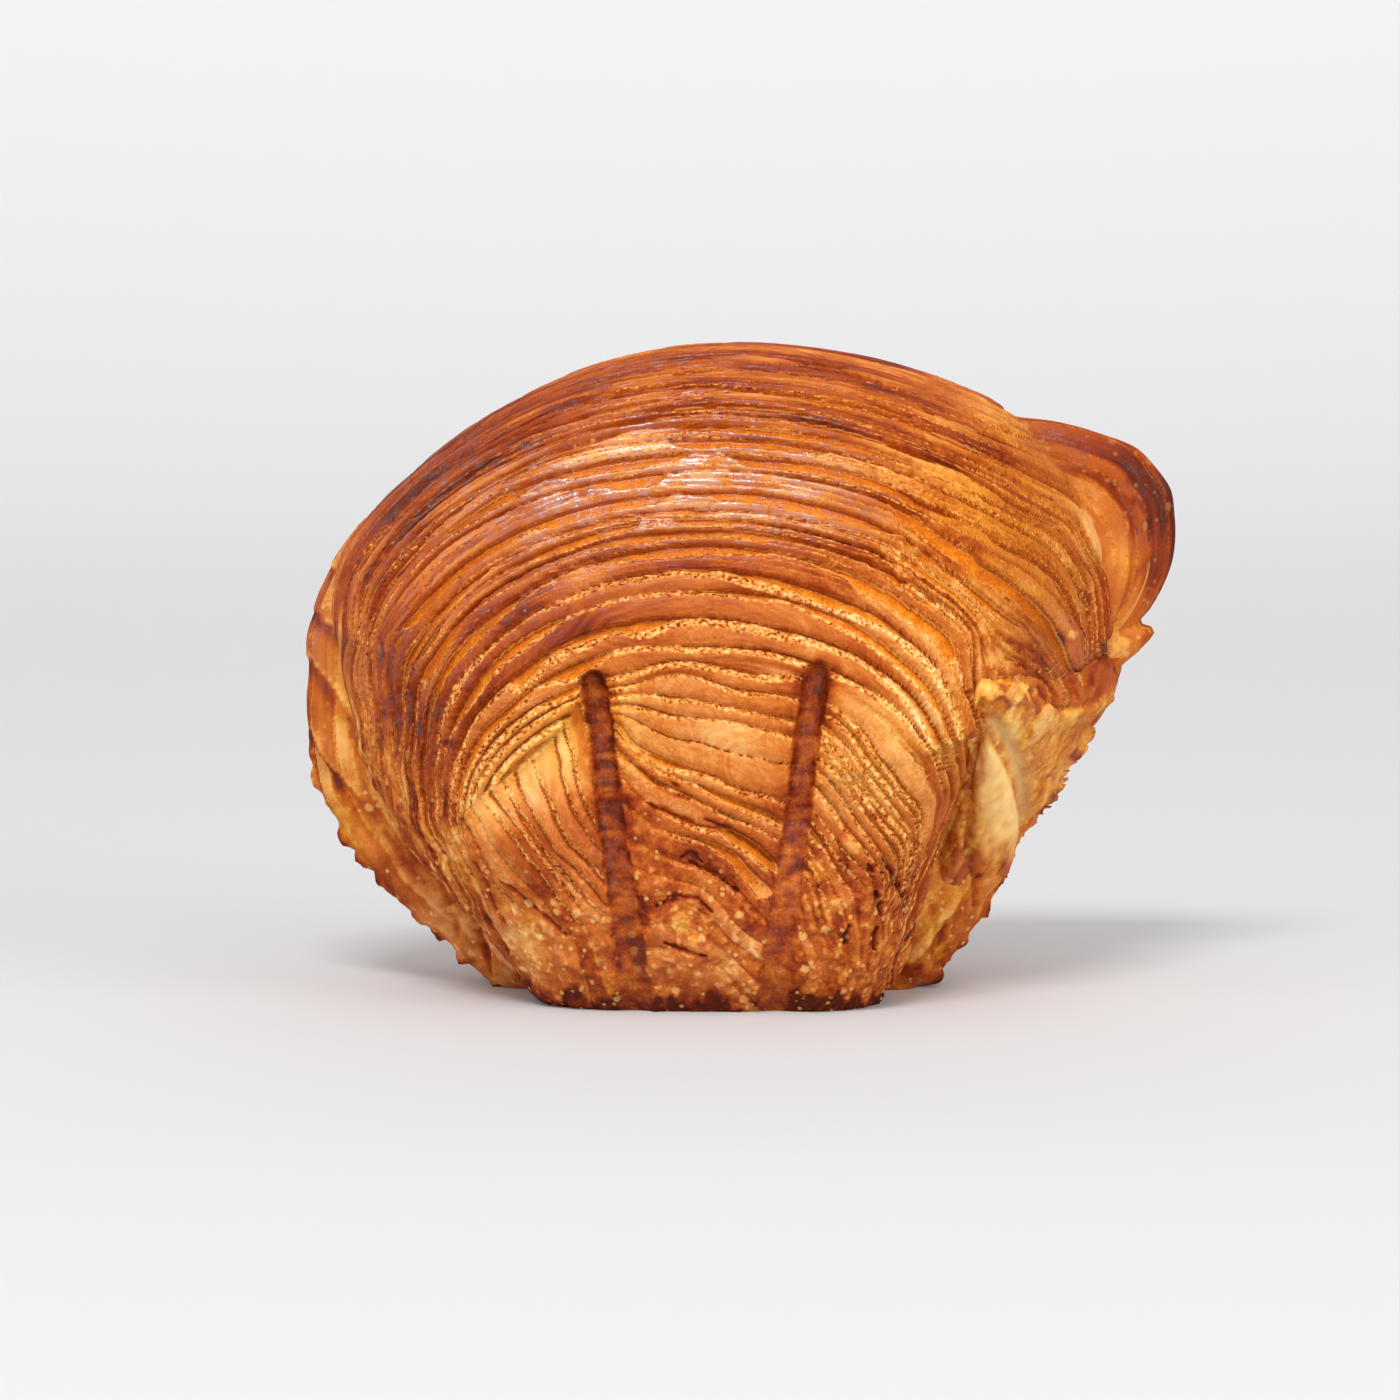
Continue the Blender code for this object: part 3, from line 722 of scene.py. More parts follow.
def ring_mesh(turns, sizes):
    """Turn and angle of each vertex, its ring, and triangles, of a surface closed by two poles."""
    turn, angle, ring, faces, starts = [], [], [], [], []
    place = 0
    for number, (value, size) in enumerate(zip(turns, sizes)):
        starts.append(place)
        turn.append(np.full(size, value))
        angle.append(np.arange(size) * 360.0 / size)
        ring.append(np.full(size, number))
        place += size
    for number in range(len(turns) - 1):
        after = number + 1
        faces.append(join_rings(starts[number], sizes[number], starts[after], sizes[after]))
    first, last = place, place + 1
    j = np.arange(sizes[0])
    faces.append(np.stack([np.full(sizes[0], first), j, (j + 1) % sizes[0]], 1))
    j = np.arange(sizes[-1])
    ends = starts[-1]
    faces.append(np.stack([np.full(sizes[-1], last), ends + (j + 1) % sizes[-1], ends + j], 1))
    turn.append(np.array([0.0, 2.0]))
    angle.append(np.array([90.0, 90.0]))
    ring.append(np.array([-1, len(turns)]))
    return tuple(np.concatenate(parts) for parts in (turn, angle, ring, faces))


def vertex_normals(co, faces):
    a, b, c = co[faces[:, 0]], co[faces[:, 1]], co[faces[:, 2]]
    face = np.cross(b - a, c - a)
    out = np.zeros_like(co)
    for column in range(3):
        for axis in range(3):
            out[:, axis] += np.bincount(faces[:, column], face[:, axis], len(co))
    return out / np.maximum(np.linalg.norm(out, axis=1, keepdims=True), 1e-12)


def mesh_object(name, co, faces, marks, material, normals):
    """A piece from points in millimetres, triangles and one value per point for each mark."""
    used = np.unique(faces)
    renumber = np.full(len(co), -1)
    renumber[used] = np.arange(len(used))
    faces = renumber[faces]
    mesh = bpy.data.meshes.new(name)
    mesh.vertices.add(len(used))
    mesh.vertices.foreach_set("co", (co[used] * MM).astype(np.float32).ravel())
    mesh.loops.add(faces.size)
    mesh.loops.foreach_set("vertex_index", faces.astype(np.int32).ravel())
    mesh.polygons.add(len(faces))
    mesh.polygons.foreach_set("loop_start", np.arange(0, faces.size, 3, dtype=np.int32))
    mesh.polygons.foreach_set("use_smooth", np.ones(len(faces), bool))
    mesh.update(calc_edges=True)
    for mark, values in marks.items():
        layer = mesh.attributes.new(mark, "FLOAT", "POINT")
        layer.data.foreach_set("value", np.asarray(values)[used].astype(np.float32))
    mesh.normals_split_custom_set_from_vertices(normals[used])
    mesh.materials.append(material)
    obj = bpy.data.objects.new(name, mesh)
    bpy.context.scene.collection.objects.link(obj)
    return obj


# ==================== marks and details
# Places of the front sheet with a look of their own: x, y, spread x, spread y, lean, then
# how much darker, how much more golden and how much glossier than the rest.
REGIONS = (
    (700, 352, 300, 26, 0, 0.14, 0.1, 0.0),
    (700, 420, 240, 60, 0, 0.04, 0.1, 0.05),
    (470, 440, 120, 40, -35, 0.17, 0.1, 0.0),
    (660, 488, 95, 32, -6, -0.06, -0.1, 1.6),
    (790, 500, 70, 24, 10, 0.0, 0.1, 0.7),
    (430, 520, 60, 80, 30, 0.09, -0.1, 0.1),
    (520, 600, 110, 50, -40, 0.06, -0.2, 0.1),
    (960, 560, 90, 60, 40, -0.01, 0.4, -0.2),
    (1000, 470, 90, 60, 35, 0.05, 0.5, 0.0),
    (900, 650, 60, 50, 45, -0.13, -0.2, -0.2),
    (1050, 600, 40, 80, -40, -0.08, 0.2, 0.0),
    (910, 730, 60, 60, 45, -0.12, 0.5, -0.2),
    (925, 718, 20, 22, 0, -0.24, -0.4, 0.0),
    (840, 590, 46, 32, 20, -0.07, -0.1, 0.0),
    (860, 915, 40, 50, 0, 0.06, 0.0, 0.0),
    (700, 745, 90, 36, 12, -0.10, 0.2, -0.2),
    (700, 690, 70, 16, 5, -0.05, 0.0, 0.0),
    (515, 785, 55, 22, -38, -0.28, 0.4, -0.2),
    (560, 830, 40, 40, 0, 0.05, 0.0, 0.0),
    (880, 720, 60, 20, 45, 0.05, 0.0, 0.0),
    (570, 730, 34, 20, -45, -0.12, 0.6, -0.2),
    (570, 870, 50, 50, 0, 0.05, -0.1, 0.0),
    (400, 730, 30, 90, 0, 0.22, -0.1, 0.1),
    (345, 780, 45, 60, 0, -0.10, 0.5, 0.0),
    (700, 860, 90, 40, 0, 0.06, -0.3, 0.0),
    (700, 950, 120, 30, 0, -0.08, -0.3, 0.1),
    (870, 900, 50, 60, 0, 0.15, -0.1, 0.0),
    (1065, 650, 50, 30, 40, 0.20, -0.3, 0.2),
    (700, 1000, 200, 20, 0, 0.08, 0.0, 0.0),
)
# Browning, goldness and glaze elsewhere.
BASE_LOOK = (0.51, 0.27, 0.03)

# Places where the stripes are worn away: x, y, spread x, spread y, lean.
WORN_PLACES = (
    (350, 800, 40, 70, -15), (430, 900, 46, 70, -30), (570, 980, 110, 40, 0),
    (850, 960, 70, 50, 0), (690, 950, 60, 50, 0), (650, 870, 16, 90, -8),
    (992, 648, 13, 20, -10),
)

# Torn slits, creases and burnt cracks: points, half width in view points, depth in
# millimetres, and how much darker. Where a crease sinks, its darkening is painted shade
# as well as browner dough.
FRONT_CREASES = (
    (((838, 842), (846, 858), (848, 874)), 3.0, 0.5, 0.25),
    (((868, 864), (874, 872)), 3.5, 0.7, 0.45),
    (((882, 858), (896, 880), (902, 898)), 2.5, 0.6, 0.35),
    (((876, 892), (882, 916)), 2.5, 0.7, 0.40),
    (((850, 926), (846, 944)), 3.0, 0.7, 0.40),
    (((878, 928), (874, 952)), 3.0, 0.7, 0.40),
    (((656, 906), (676, 896), (698, 898), (712, 912)), 3.0, 0.6, 0.30),
    (((664, 944), (684, 952), (706, 956)), 3.0, 0.6, 0.35),
    (((690, 862), (712, 874), (738, 892)), 3.0, 0.6, 0.30),
    (((680, 858), (690, 852), (702, 862)), 2.5, 0.5, 0.25),
    (((806, 866), (818, 884), (820, 908)), 2.5, 0.4, 0.20),
    (((630, 762), (649, 778), (671, 794), (690, 800)), 2.5, 0.5, 0.26),
    (((648, 803), (671, 814), (693, 822)), 2.5, 0.5, 0.26),
    (((705, 819), (727, 828), (752, 844), (772, 862)), 3.0, 0.6, 0.28),
    (((672, 783), (679, 787)), 2.5, 0.5, 0.28),
    (((1004, 640), (1030, 650), (1048, 668)), 3.0, 0.3, 0.15),
    (((500, 880), (540, 912), (566, 936)), 2.5, 0.5, 0.30),
    (((476, 862), (492, 900), (506, 926)), 2.5, 0.4, 0.25),
    (((380, 640), (392, 700), (398, 760), (420, 820)), 5.0, 0.4, 0.12),
    (((374, 780), (384, 820), (404, 858)), 4.0, 0.4, 0.16),
    ((
        (930, 545), (970, 575), (1010, 607), (1046, 635), (1067, 666), (1077, 697),
    ), 6.0, -0.1, 0.17),
    ((
        (975, 545), (1005, 563), (1043, 589), (1071, 615), (1087, 650), (1092, 683),
    ), 7.0, -0.1, 0.13),
    (((996, 631), (1017, 643), (1037, 655), (1054, 676)), 5.5, -0.1, 0.18),
    (((1006, 656), (1031, 671), (1048, 682), (1060, 700)), 4.5, 0.0, 0.17),
)
# Single patches: x, y, spread x, spread y, lean, how much darker and more golden, height.
FRONT_PATCHES = (
    (679, 924, 9, 7, 20, -0.26, 0.5, 0.5),
    (829, 908, 8, 11, -10, -0.28, 0.4, 0.3),
    (850, 846, 8, 6, 20, -0.24, 0.4, 0.3),
    (1085, 598, 4, 7, -10, 0.20, -0.2, 0.0),
    (1060, 636, 7, 4, 45, 0.20, -0.2, 0.0),
    (1045, 632, 4, 4, 0, 0.18, -0.2, 0.0),
    (1072, 634, 3, 4, 0, -0.30, 0.2, 0.2),
    (1104, 655, 4, 10, -15, 0.16, -0.2, 0.0),
    (818, 873, 9, 7, 30, -0.20, 0.5, 0.2),
    (820, 990, 13, 5, 0, -0.16, 0.4, 0.2),
    (700, 946, 13, 5, 20, -0.14, 0.4, 0.2),
    (612, 982, 12, 7, 0, -0.12, 0.3, 0.2),
    (404, 690, 5, 8, 0, 0.16, -0.2, 0.0),
    (386, 708, 5, 8, 0, 0.14, -0.2, 0.0),
    (448, 742, 5, 5, 0, 0.18, -0.2, 0.0),
    (452, 812, 5, 16, -25, 0.34, -0.2, 0.0),
    (970, 693, 3, 3, 0, 0.35, -0.2, 0.0),
    (612, 700, 8, 26, -8, 0.10, 0.2, 0.0),
    (826, 700, 8, 24, 0, 0.16, 0.2, 0.0),
)

# The same for what shows of the back sheet: ear, left rim and the lower rims.
RIM_REGIONS = (
    (1060, 432, 70, 20, 24, 0.20, 0.0, 0.05),
    (1130, 480, 50, 46, 40, 0.24, 0.1, 0.0),
    (1172, 530, 20, 60, 0, 0.28, 0.0, 0.0),
    (1130, 585, 30, 30, 0, 0.06, 0.0, 0.0),
    (1090, 515, 14, 46, 10, -0.20, 0.1, -0.1),
    (1135, 600, 30, 34, 0, 0.04, 0.4, 0.0),
    (1130, 650, 30, 20, -30, -0.10, 0.4, 0.0),
    (318, 620, 14, 34, 0, 0.22, 0.0, 0.1),
    (312, 700, 10, 26, 0, 0.16, 0.0, 0.0),
    (338, 740, 26, 60, 0, -0.09, 0.4, 0.0),
    (346, 640, 10, 60, 0, -0.10, 0.6, 0.0),
    (345, 850, 30, 40, 40, -0.10, 0.4, 0.0),
    (400, 890, 50, 30, 45, 0.04, -0.1, 0.0),
    (450, 940, 30, 30, 30, -0.17, -0.2, 0.0),
    (490, 980, 30, 30, 30, -0.06, -0.3, 0.0),
    (960, 900, 50, 60, 0, -0.07, 0.35, 0.0),
    (930, 960, 30, 20, 0, 0.04, 0.1, 0.0),
    (940, 840, 14, 60, -14, 0.10, 0.1, 0.0),
)
# Creases as in FRONT_CREASES; where one sinks, its darkening is painted shade as well as browner
# dough.
RIM_CREASES = (
    (((974, 872), (976, 890), (974, 908)), 3.5, 0.8, 0.30),
    (((946, 922), (942, 936), (938, 948)), 3.0, 0.6, 0.30),
    (((930, 900), (936, 930), (930, 960)), 3.0, 0.5, 0.15),
    (((955, 860), (962, 900), (950, 940)), 3.0, 0.4, 0.10),
    (((472, 900), (480, 935), (492, 975)), 3.5, 0.8, 0.30),
    (((440, 880), (452, 905), (458, 935)), 3.0, 0.5, 0.15),
    (((384, 830), (404, 862), (424, 884)), 3.5, 0.5, 0.25),
    (((365, 860), (390, 890), (412, 925)), 3.0, 0.4, 0.12),
    (((1078, 474), (1088, 520), (1108, 590)), 5.0, 0.5, -0.10),
    (((1120, 506), (1139, 501), (1149, 516), (1150, 540)), 2.5, 0.3, 0.16),
    (((1112, 486), (1139, 477), (1160, 499), (1164, 540)), 2.5, 0.3, 0.16),
    (((1130, 530), (1140, 524), (1149, 530)), 2.0, 0.2, 0.14),
    (((1130, 668), (1144, 650), (1148, 630)), 3.0, 0.4, 0.15),
)
RIM_PATCHES = (
    (1120, 560, 14, 20, 0, -0.12, 0.4, 0.2),
    (1150, 575, 8, 16, 0, 0.14, -0.1, 0.0),
    (430, 936, 6, 6, 0, 0.30, -0.2, 0.0),
    (468, 964, 6, 6, 0, 0.34, -0.2, 0.0),
    (912, 972, 12, 6, 0, 0.26, -0.2, 0.0),
    (368, 812, 8, 16, -20, 0.20, -0.1, 0.0),
)


def region_weight(px, py, cx, cy, wide, high, lean):
    a = math.radians(lean)
    u = (px - cx) * math.cos(a) + (py - cy) * math.sin(a)
    v = -(px - cx) * math.sin(a) + (py - cy) * math.cos(a)
    return np.exp(-0.5 * ((u / wide) ** 2 + (v / high) ** 2))


def region_values(px, py, regions):
    """Browning, goldness and glaze at points of the view."""
    out = [np.full(px.shape, value) for value in BASE_LOOK]
    for *place, darker, golden, glossier in regions:
        weight = region_weight(px, py, *place)
        for total, change in zip(out, (darker, golden, glossier)):
            total += change * weight
    return out


def details(px, py, creases, patches):
    """Height, darkening and goldness of the single creases and patches."""
    height, darker, golden = np.zeros(px.shape), np.zeros(px.shape), np.zeros(px.shape)
    uneven = 1 + 0.5 * noise(61, px / 5, py / 5)
    for line, half, depth, dark in creases:
        away, share = line_distance(px, py, line)
        ends = 1 - 0.6 * np.abs(2 * np.clip(share, 0, 1) - 1) ** 2
        weight = bump(away, half * ends * uneven)
        height -= depth * weight
        darker += dark * weight
    for *place, dark, gold, high in patches:
        ragged_x = px + 3 * noise(62, px / 6, py / 6)
        ragged_y = py + 3 * noise(63, px / 6, py / 6)
        weight = np.clip(1.6 * region_weight(ragged_x, ragged_y, *place) - 0.3, 0, 1)
        height += high * weight
        darker += dark * weight
        golden += gold * weight
    return height, darker, golden


def crust_marks(found, place, bake, gold, rough):
    """Marks of the crust material, from the layers and from the browning of the place."""
    x, y, z = place
    grit, lines = found["grit"], found["lines"]
    cloud = rough_noise(53, x / 9, y / 9, z / 9)
    blotch = 0.5 * speckle(55, 2.4, x, y, z) + 0.5 * speckle(57, 5.5, x, y, z)
    shade = bake + 0.07 * cloud + rough * (0.17 * blotch + 0.07 * speckle(59, 0.9, x, y, z))
    # Each smooth band is painted lighter near its upper edge and darker towards its lower edge
    # (share), as light and shade.
    smooth = shade + 0.06 + found["tone"] + 0.07 * lines + 0.06 * (found["share"] - 0.6)
    total = smooth * (1 - found["crumb"]) + (shade - 0.06 * grit) * found["crumb"]
    # The amber floor is painted darker at its top, as shade under the layer above, and paler
    # towards its lower edge.
    amber = bake + 0.26 - 0.30 * found["floor_share"] + 0.1 * grit
    total = total * (1 - found["floor"]) + amber * found["floor"]
    golden = gold + 0.15 * noise(54, x / 6, y / 6, z / 6) + rough * (0.04 - 0.6 * blotch)
    golden = golden + 0.12 * found["crumb"] + 0.9 * found["floor"] - 0.25 * found["satin"]
    return {
        "bake": np.clip(total, 0, 1),
        "gap": np.clip(found["gap"], 0, 1),
        "crumb": np.clip(found["crumb"], 0, 1),
        "floor": np.clip(found["floor"], 0, 1),
        "gold": np.clip(golden, 0, 1),
        "satin": found["satin"] * (1 - found["floor"]) * (1 - 0.7 * rough),
        "rough": rough,
        "across": found["across"],
        "along": found["along"],
    }


def darken(marks, darker, golden):
    marks["bake"] = np.clip(marks["bake"] + darker, 0, 1)
    marks["gold"] = np.clip(marks["gold"] + golden, 0, 1)
    hidden = 1 - np.clip(4 * (np.abs(darker) - 0.2), 0, 1)
    marks["gap"] = marks["gap"] * hidden


def wear_down(found, worn, share=0.8):
    for mark in ("height", "gap", "floor", "crumb", "lines"):
        found[mark] = found[mark] * (1 - share * worn)


# ==================== the front sheet
# Pieces of the front sheet, with the ring of vertices that each starts at.
FRONT_PIECES = (("front_face", 0), ("front_belly", 150), ("front_dome", 225), ("front_edge", 300))
FACE_RINGS, EDGE_RINGS, HIDDEN_RINGS = 150, 216, 12
# Reach of a sheet in millimetres, for the number of vertices on its rings.
SHEET_REACH, FRONT_FINEST, FRONT_MOST, BACK_MOST = 66, 0.26, 1024, 512
FEWEST_BEHIND = 64
# Least share of a layer's thickness that the view shows.
LEAST_SHARE_SHOWN = 0.35
# Rows of the view: where the crust gets rough, where the arcs end, where flakes thin out.
ROUGH_ROWS = (820, 950)
BELOW_ARCS = (655, 664)
FLAKY_DOME = (600, 520)


def lobe_weight(px, py):
    """1 on the corner lobe at the lower left."""
    crease, _ = line_distance(px, py, LOBE_CREASE)
    groove, _ = line_distance(px, py, GROOVE_LINES[0])
    side, _ = line_distance(px, py, LOBE_SIDE)
    return smooth_step(-3, 3, crease) * smooth_step(3, -3, groove) * smooth_step(-3, 3, side)


def groove_profile(px, py):
    """Depth of the pressed grooves, where their floor is, its share downwards, and its edge."""
    deep, floor, edge, down = (np.zeros(px.shape) for _ in range(4))
    for line in GROOVE_LINES:
        away, share = line_distance(px, py, line)
        off = np.abs(away) / PER_MM
        uneven = 1 + 0.10 * noise(64, py / 9, px / 40) + 0.05 * noise(65, py / 3, px / 40)
        wide = GROOVE_HALF * uneven * (1 + 0.25 * smooth_step(0.4, 1, share))
        top, foot = GROOVE_DEPTHS
        fade = top + (foot - top) * smooth_step(0.05, 0.8, share)
        deep = np.maximum(deep, fade * np.sqrt(np.clip(1 - (off / wide) ** 2, 0, 1)))
        floor = np.maximum(floor, smooth_step(1.15, 0.8, off / wide))
        edge = np.maximum(edge, bump(off - wide * 1.1, 1.3))
        down = np.where(off < 2.5 * wide, np.clip(share, 0, 1), down)
    return deep, floor, down, edge


def weaken_edges(found, gap, crumb):
    found["gap"] = gap * found["gap"]
    found["crumb"] = crumb * found["crumb"]


def mix_layers(px, py, creep, foreshortened):
    """Layers all over the front sheet: dome, right of the grooves, between them, lobe."""
    number, length, per_unit = read_field(STRIPES, px, py)
    per_unit = per_unit / foreshortened
    number = number - creep
    flaky = smooth_step(*FLAKY_DOME, number)
    found = layers(
        number, length, per_unit, TOP_TABLE + DOME_LAYERS, 100,
        open_more=0.40 * flaky - 0.10, px=px, deep=0.2 + foreshortened, loose=0.13,
    )
    fine = layers(number, length, per_unit, FINE_TABLE, 500, wander=0.35, open_more=-0.3)
    add_fine_layers(found, fine, flaky * (1 - found["floor"]))
    left, _ = line_distance(px, py, GROOVE_LINES[0])
    right, _ = line_distance(px, py, GROOVE_LINES[1])
    low = smooth_step(*BELOW_ARCS, number)
    side = layers(number, length, per_unit, RIGHT_TABLE, 150, open_more=-0.2, deep=0.25)
    weaken_edges(side, 0.75, 0.8)
    found = blend_layers(found, side, smooth_step(-2, 2, right) * low)
    centre = layers(
        *read_field(CENTRE, px, py), CENTRE_LAYERS, 200, wander=0.18, open_more=-0.1, deep=0.4
    )
    weaken_edges(centre, 0.8, 0.75)
    between = smooth_step(-2, 2, left) * smooth_step(2, -2, right)
    found = blend_layers(found, centre, between * low)
    lobe = layers(*read_field(LOBE, px, py), LOBE_TABLE, 300, open_more=-0.3, deep=0.3)
    return blend_layers(found, lobe, lobe_weight(px, py))


def front_rings():
    turns = np.concatenate([
        np.linspace(0.004, INNER_TURN, FACE_RINGS),
        np.linspace(INNER_TURN, 1.0, EDGE_RINGS)[1:],
        np.linspace(1.0, 2.0, HIDDEN_RINGS)[1:-1],
    ])
    sizes = ring_sizes(turns, FRONT_MOST, SHEET_REACH, FRONT_FINEST)
    for i, turn in enumerate(turns):
        if turn > 1.0:
            sizes[i] = max(FEWEST_BEHIND, sizes[i - 1] // 2) if i % 2 == 0 else sizes[i - 1]
    return ring_mesh(turns, sizes)


def build_front(material):
    turn, angle, ring, faces = front_rings()
    x, y, z = front_surface(turn, angle)
    co = np.stack([x, y, z], 1)
    normals = vertex_normals(co, faces)
    px, py = view_of(x, y, z)
    creep = np.maximum(0, y - TOP_FROM_Y) * around(angle, CREEP)
    found = mix_layers(px, py, creep, np.clip(np.abs(normals[:, 1]), LEAST_SHARE_SHOWN, 1))
    worn = sum(region_weight(px, py, *place) for place in WORN_PLACES)
    rough = np.clip(smooth_step(*ROUGH_ROWS, py) * 0.8 + worn, 0, 1)
    wear_down(found, np.clip(worn, 0, 1))
    deep, floor, down, groove_edge = groove_profile(px, py)
    single, darker, golden = details(px, py, FRONT_CREASES, FRONT_PATCHES)
    spots = speckle(41, 0.9, x, y, z)
    lumps = 0.20 * spots + 0.45 * speckle(43, 2.6, x, y, z) + 0.4 * speckle(45, 5, x, y, z)
    height = (found["height"] + rough * lumps * 0.8) * (1 - 0.85 * floor) + single
    height += 0.10 * floor * noise(66, py / 4, px / 60)
    height = height * smooth_step(1.12, 1.0, turn) - deep
    co = co + normals * height[:, None]
    co[:, 2] = np.maximum(co[:, 2], 0.0)
    marks = front_marks(px, py, co, found, rough, spots)
    press_marks(marks, px, floor, down, groove_edge, co.T)
    darken(marks, darker, golden)
    starts = [start for _, start in FRONT_PIECES]
    piece_of_face = np.searchsorted(starts, ring[faces].max(1), side="right") - 1
    normals = vertex_normals(co, faces)
    return [
        mesh_object(name, co, faces[piece_of_face == i], marks, material, normals)
        for i, (name, _) in enumerate(FRONT_PIECES)
    ]


def front_marks(px, py, co, found, rough, spots):
    bake, gold, glaze = region_values(px, py, REGIONS)
    marks = crust_marks(found, co.T, bake, gold, rough)
    pale_spots = smooth_step(0.25, 0.7, spots) * rough
    jagged = co[:, 2] + 1.6 * noise(67, co[:, 0] / 2.5) + 0.8 * noise(68, co[:, 0] / 0.9)
    burnt = smooth_step(3.6, 0.8, jagged)
    marks["bake"] = np.clip(marks["bake"] - 0.22 * pale_spots + 0.45 * burnt, 0, 1)
    marks["glaze"] = np.clip(glaze, 0, 1) * (0.25 + 0.75 * marks["satin"])
    return marks


def press_marks(marks, px, floor, down, edge, place):
    """Colours of the pressed grooves: reddish brown, the right one a little paler."""
    x, y, z = place
    pressed = 0.81 - 0.02 * smooth_step(0.1, 0.9, down) - 0.08 * (px > ARC_TOP_X)
    pressed += 0.10 * noise(52, z / 0.8, x / 5) + 0.16 * speckle(69, 1.3, x, y, z)
    scorched = 0.26 * edge * (1 - 0.7 * down) * (0.6 + 0.6 * speckle(70, 1.4, x, y, z))
    floor = floor * (1 - 0.15 * smooth_step(0.6, 1, down))
    marks["bake"] = marks["bake"] * (1 - floor) + floor * pressed + scorched
    for mark in ("gap", "crumb", "floor"):
        marks[mark] = marks[mark] * (1 - floor)
    marks["gold"] = marks["gold"] * (1 - floor) + 0.2 * floor
    marks["satin"] = marks["satin"] * (1 - floor) + 0.6 * floor
    marks["rough"] = marks["rough"] * (1 - 0.8 * floor)
    marks["glaze"] = np.maximum(marks["glaze"] * (1 - floor), 0.08 * floor)


# ==================== the back sheet
# Browning of the far side: middle value, browner top, paler place (X, Z, size).
FAR_BAKE, FAR_TOP, FAR_PALE = 0.50, 0.12, (-20, 35, 30)
FAR_GOLD, FAR_GLAZE = 0.3, 0.35
# The far side's arcs: their middle in X and Z, how flat they are, the number at the
# middle, and how much coarser their pattern is than the near side's.
BACK_MIDDLE = (-4.0, -13.0)
BACK_FLATNESS = 0.82
BACK_REACH = 109.0
BACK_COARSE = 1.6
NEAR_RINGS, FAR_RINGS = 60, 160
BACK_SPLIT_RING = 100
PLEAT_PITCH = 66


def rim_wear(angle):
    """1 where the pressed rim is torn and rough: at the lower right and the lower left."""
    signed = np.where(angle > 180, angle - 360, angle)
    right = smooth_step(24, 14, signed) * smooth_step(-90, -78, signed)
    left = smooth_step(165, 185, angle) * smooth_step(262, 250, angle)
    return np.maximum(right, 0.9 * left)


def pleat_shade(px, py):
    """Slanting folds of the left rim, with painted shade: dark at the fold, then golden, with a
    pale edge.
    """
    inside = smooth_step(366, 350, px) * smooth_step(530, 570, py) * smooth_step(850, 790, py)
    phase = np.mod((py - 1.3 * (px - 310) - 600) / PLEAT_PITCH + 0.15 * noise(75, py / 40), 1)
    dark = smooth_step(0.0, 0.08, phase) * smooth_step(0.5, 0.12, phase)
    light = bump(phase - 0.97, 0.05)
    return inside * (0.30 * dark - 0.20 * light - 0.06), inside * (0.4 * phase - 0.2)


def back_field(x, z):
    """The far side's stripe number, length and millimetres for each number."""
    dx, dz = (x - BACK_MIDDLE[0]) * BACK_FLATNESS, z - BACK_MIDDLE[1]
    number = BACK_REACH - np.hypot(dx, dz) + 1.8 * rough_noise(86, x / 40, z / 40)
    return number, np.arctan2(dx, dz) * 100 / BACK_COARSE, np.full(x.shape, 1 / BACK_COARSE)


def back_layers(x, z, turn, angle):
    """Stripes along the rim on the near side, arcs around the foot on the far side."""
    inwards = around(angle, BACK_OUTLINE) - np.hypot(x - HUB[0], z - HUB[1])
    across = np.where(turn < 1, inwards, -(turn - 1) * 70)
    near = layers(
        across, np.radians(angle) * 55, np.full(x.shape, 1.0), BACK_TABLE, 400, wander=0.4
    )
    far = layers(*back_field(x, z), FAR_TABLE, 450, wander=0.3, open_more=-0.1)
    weaken_edges(far, 1, 0.6)
    return blend_layers(near, far, smooth_step(1.04, 1.12, turn))


def far_browning(x, y, z):
    """Browning of the far side: browner at the top and at the foot, with a paler place."""
    cx, cz, size = FAR_PALE
    paler = 0.10 * bump(np.hypot(x - cx, z - cz), size)
    bake = FAR_BAKE + FAR_TOP * smooth_step(50, 95, z) - paler
    return bake + (0.12 * speckle(87, 7.0, x, y, z) + 0.30 * smooth_step(7, 1, z))


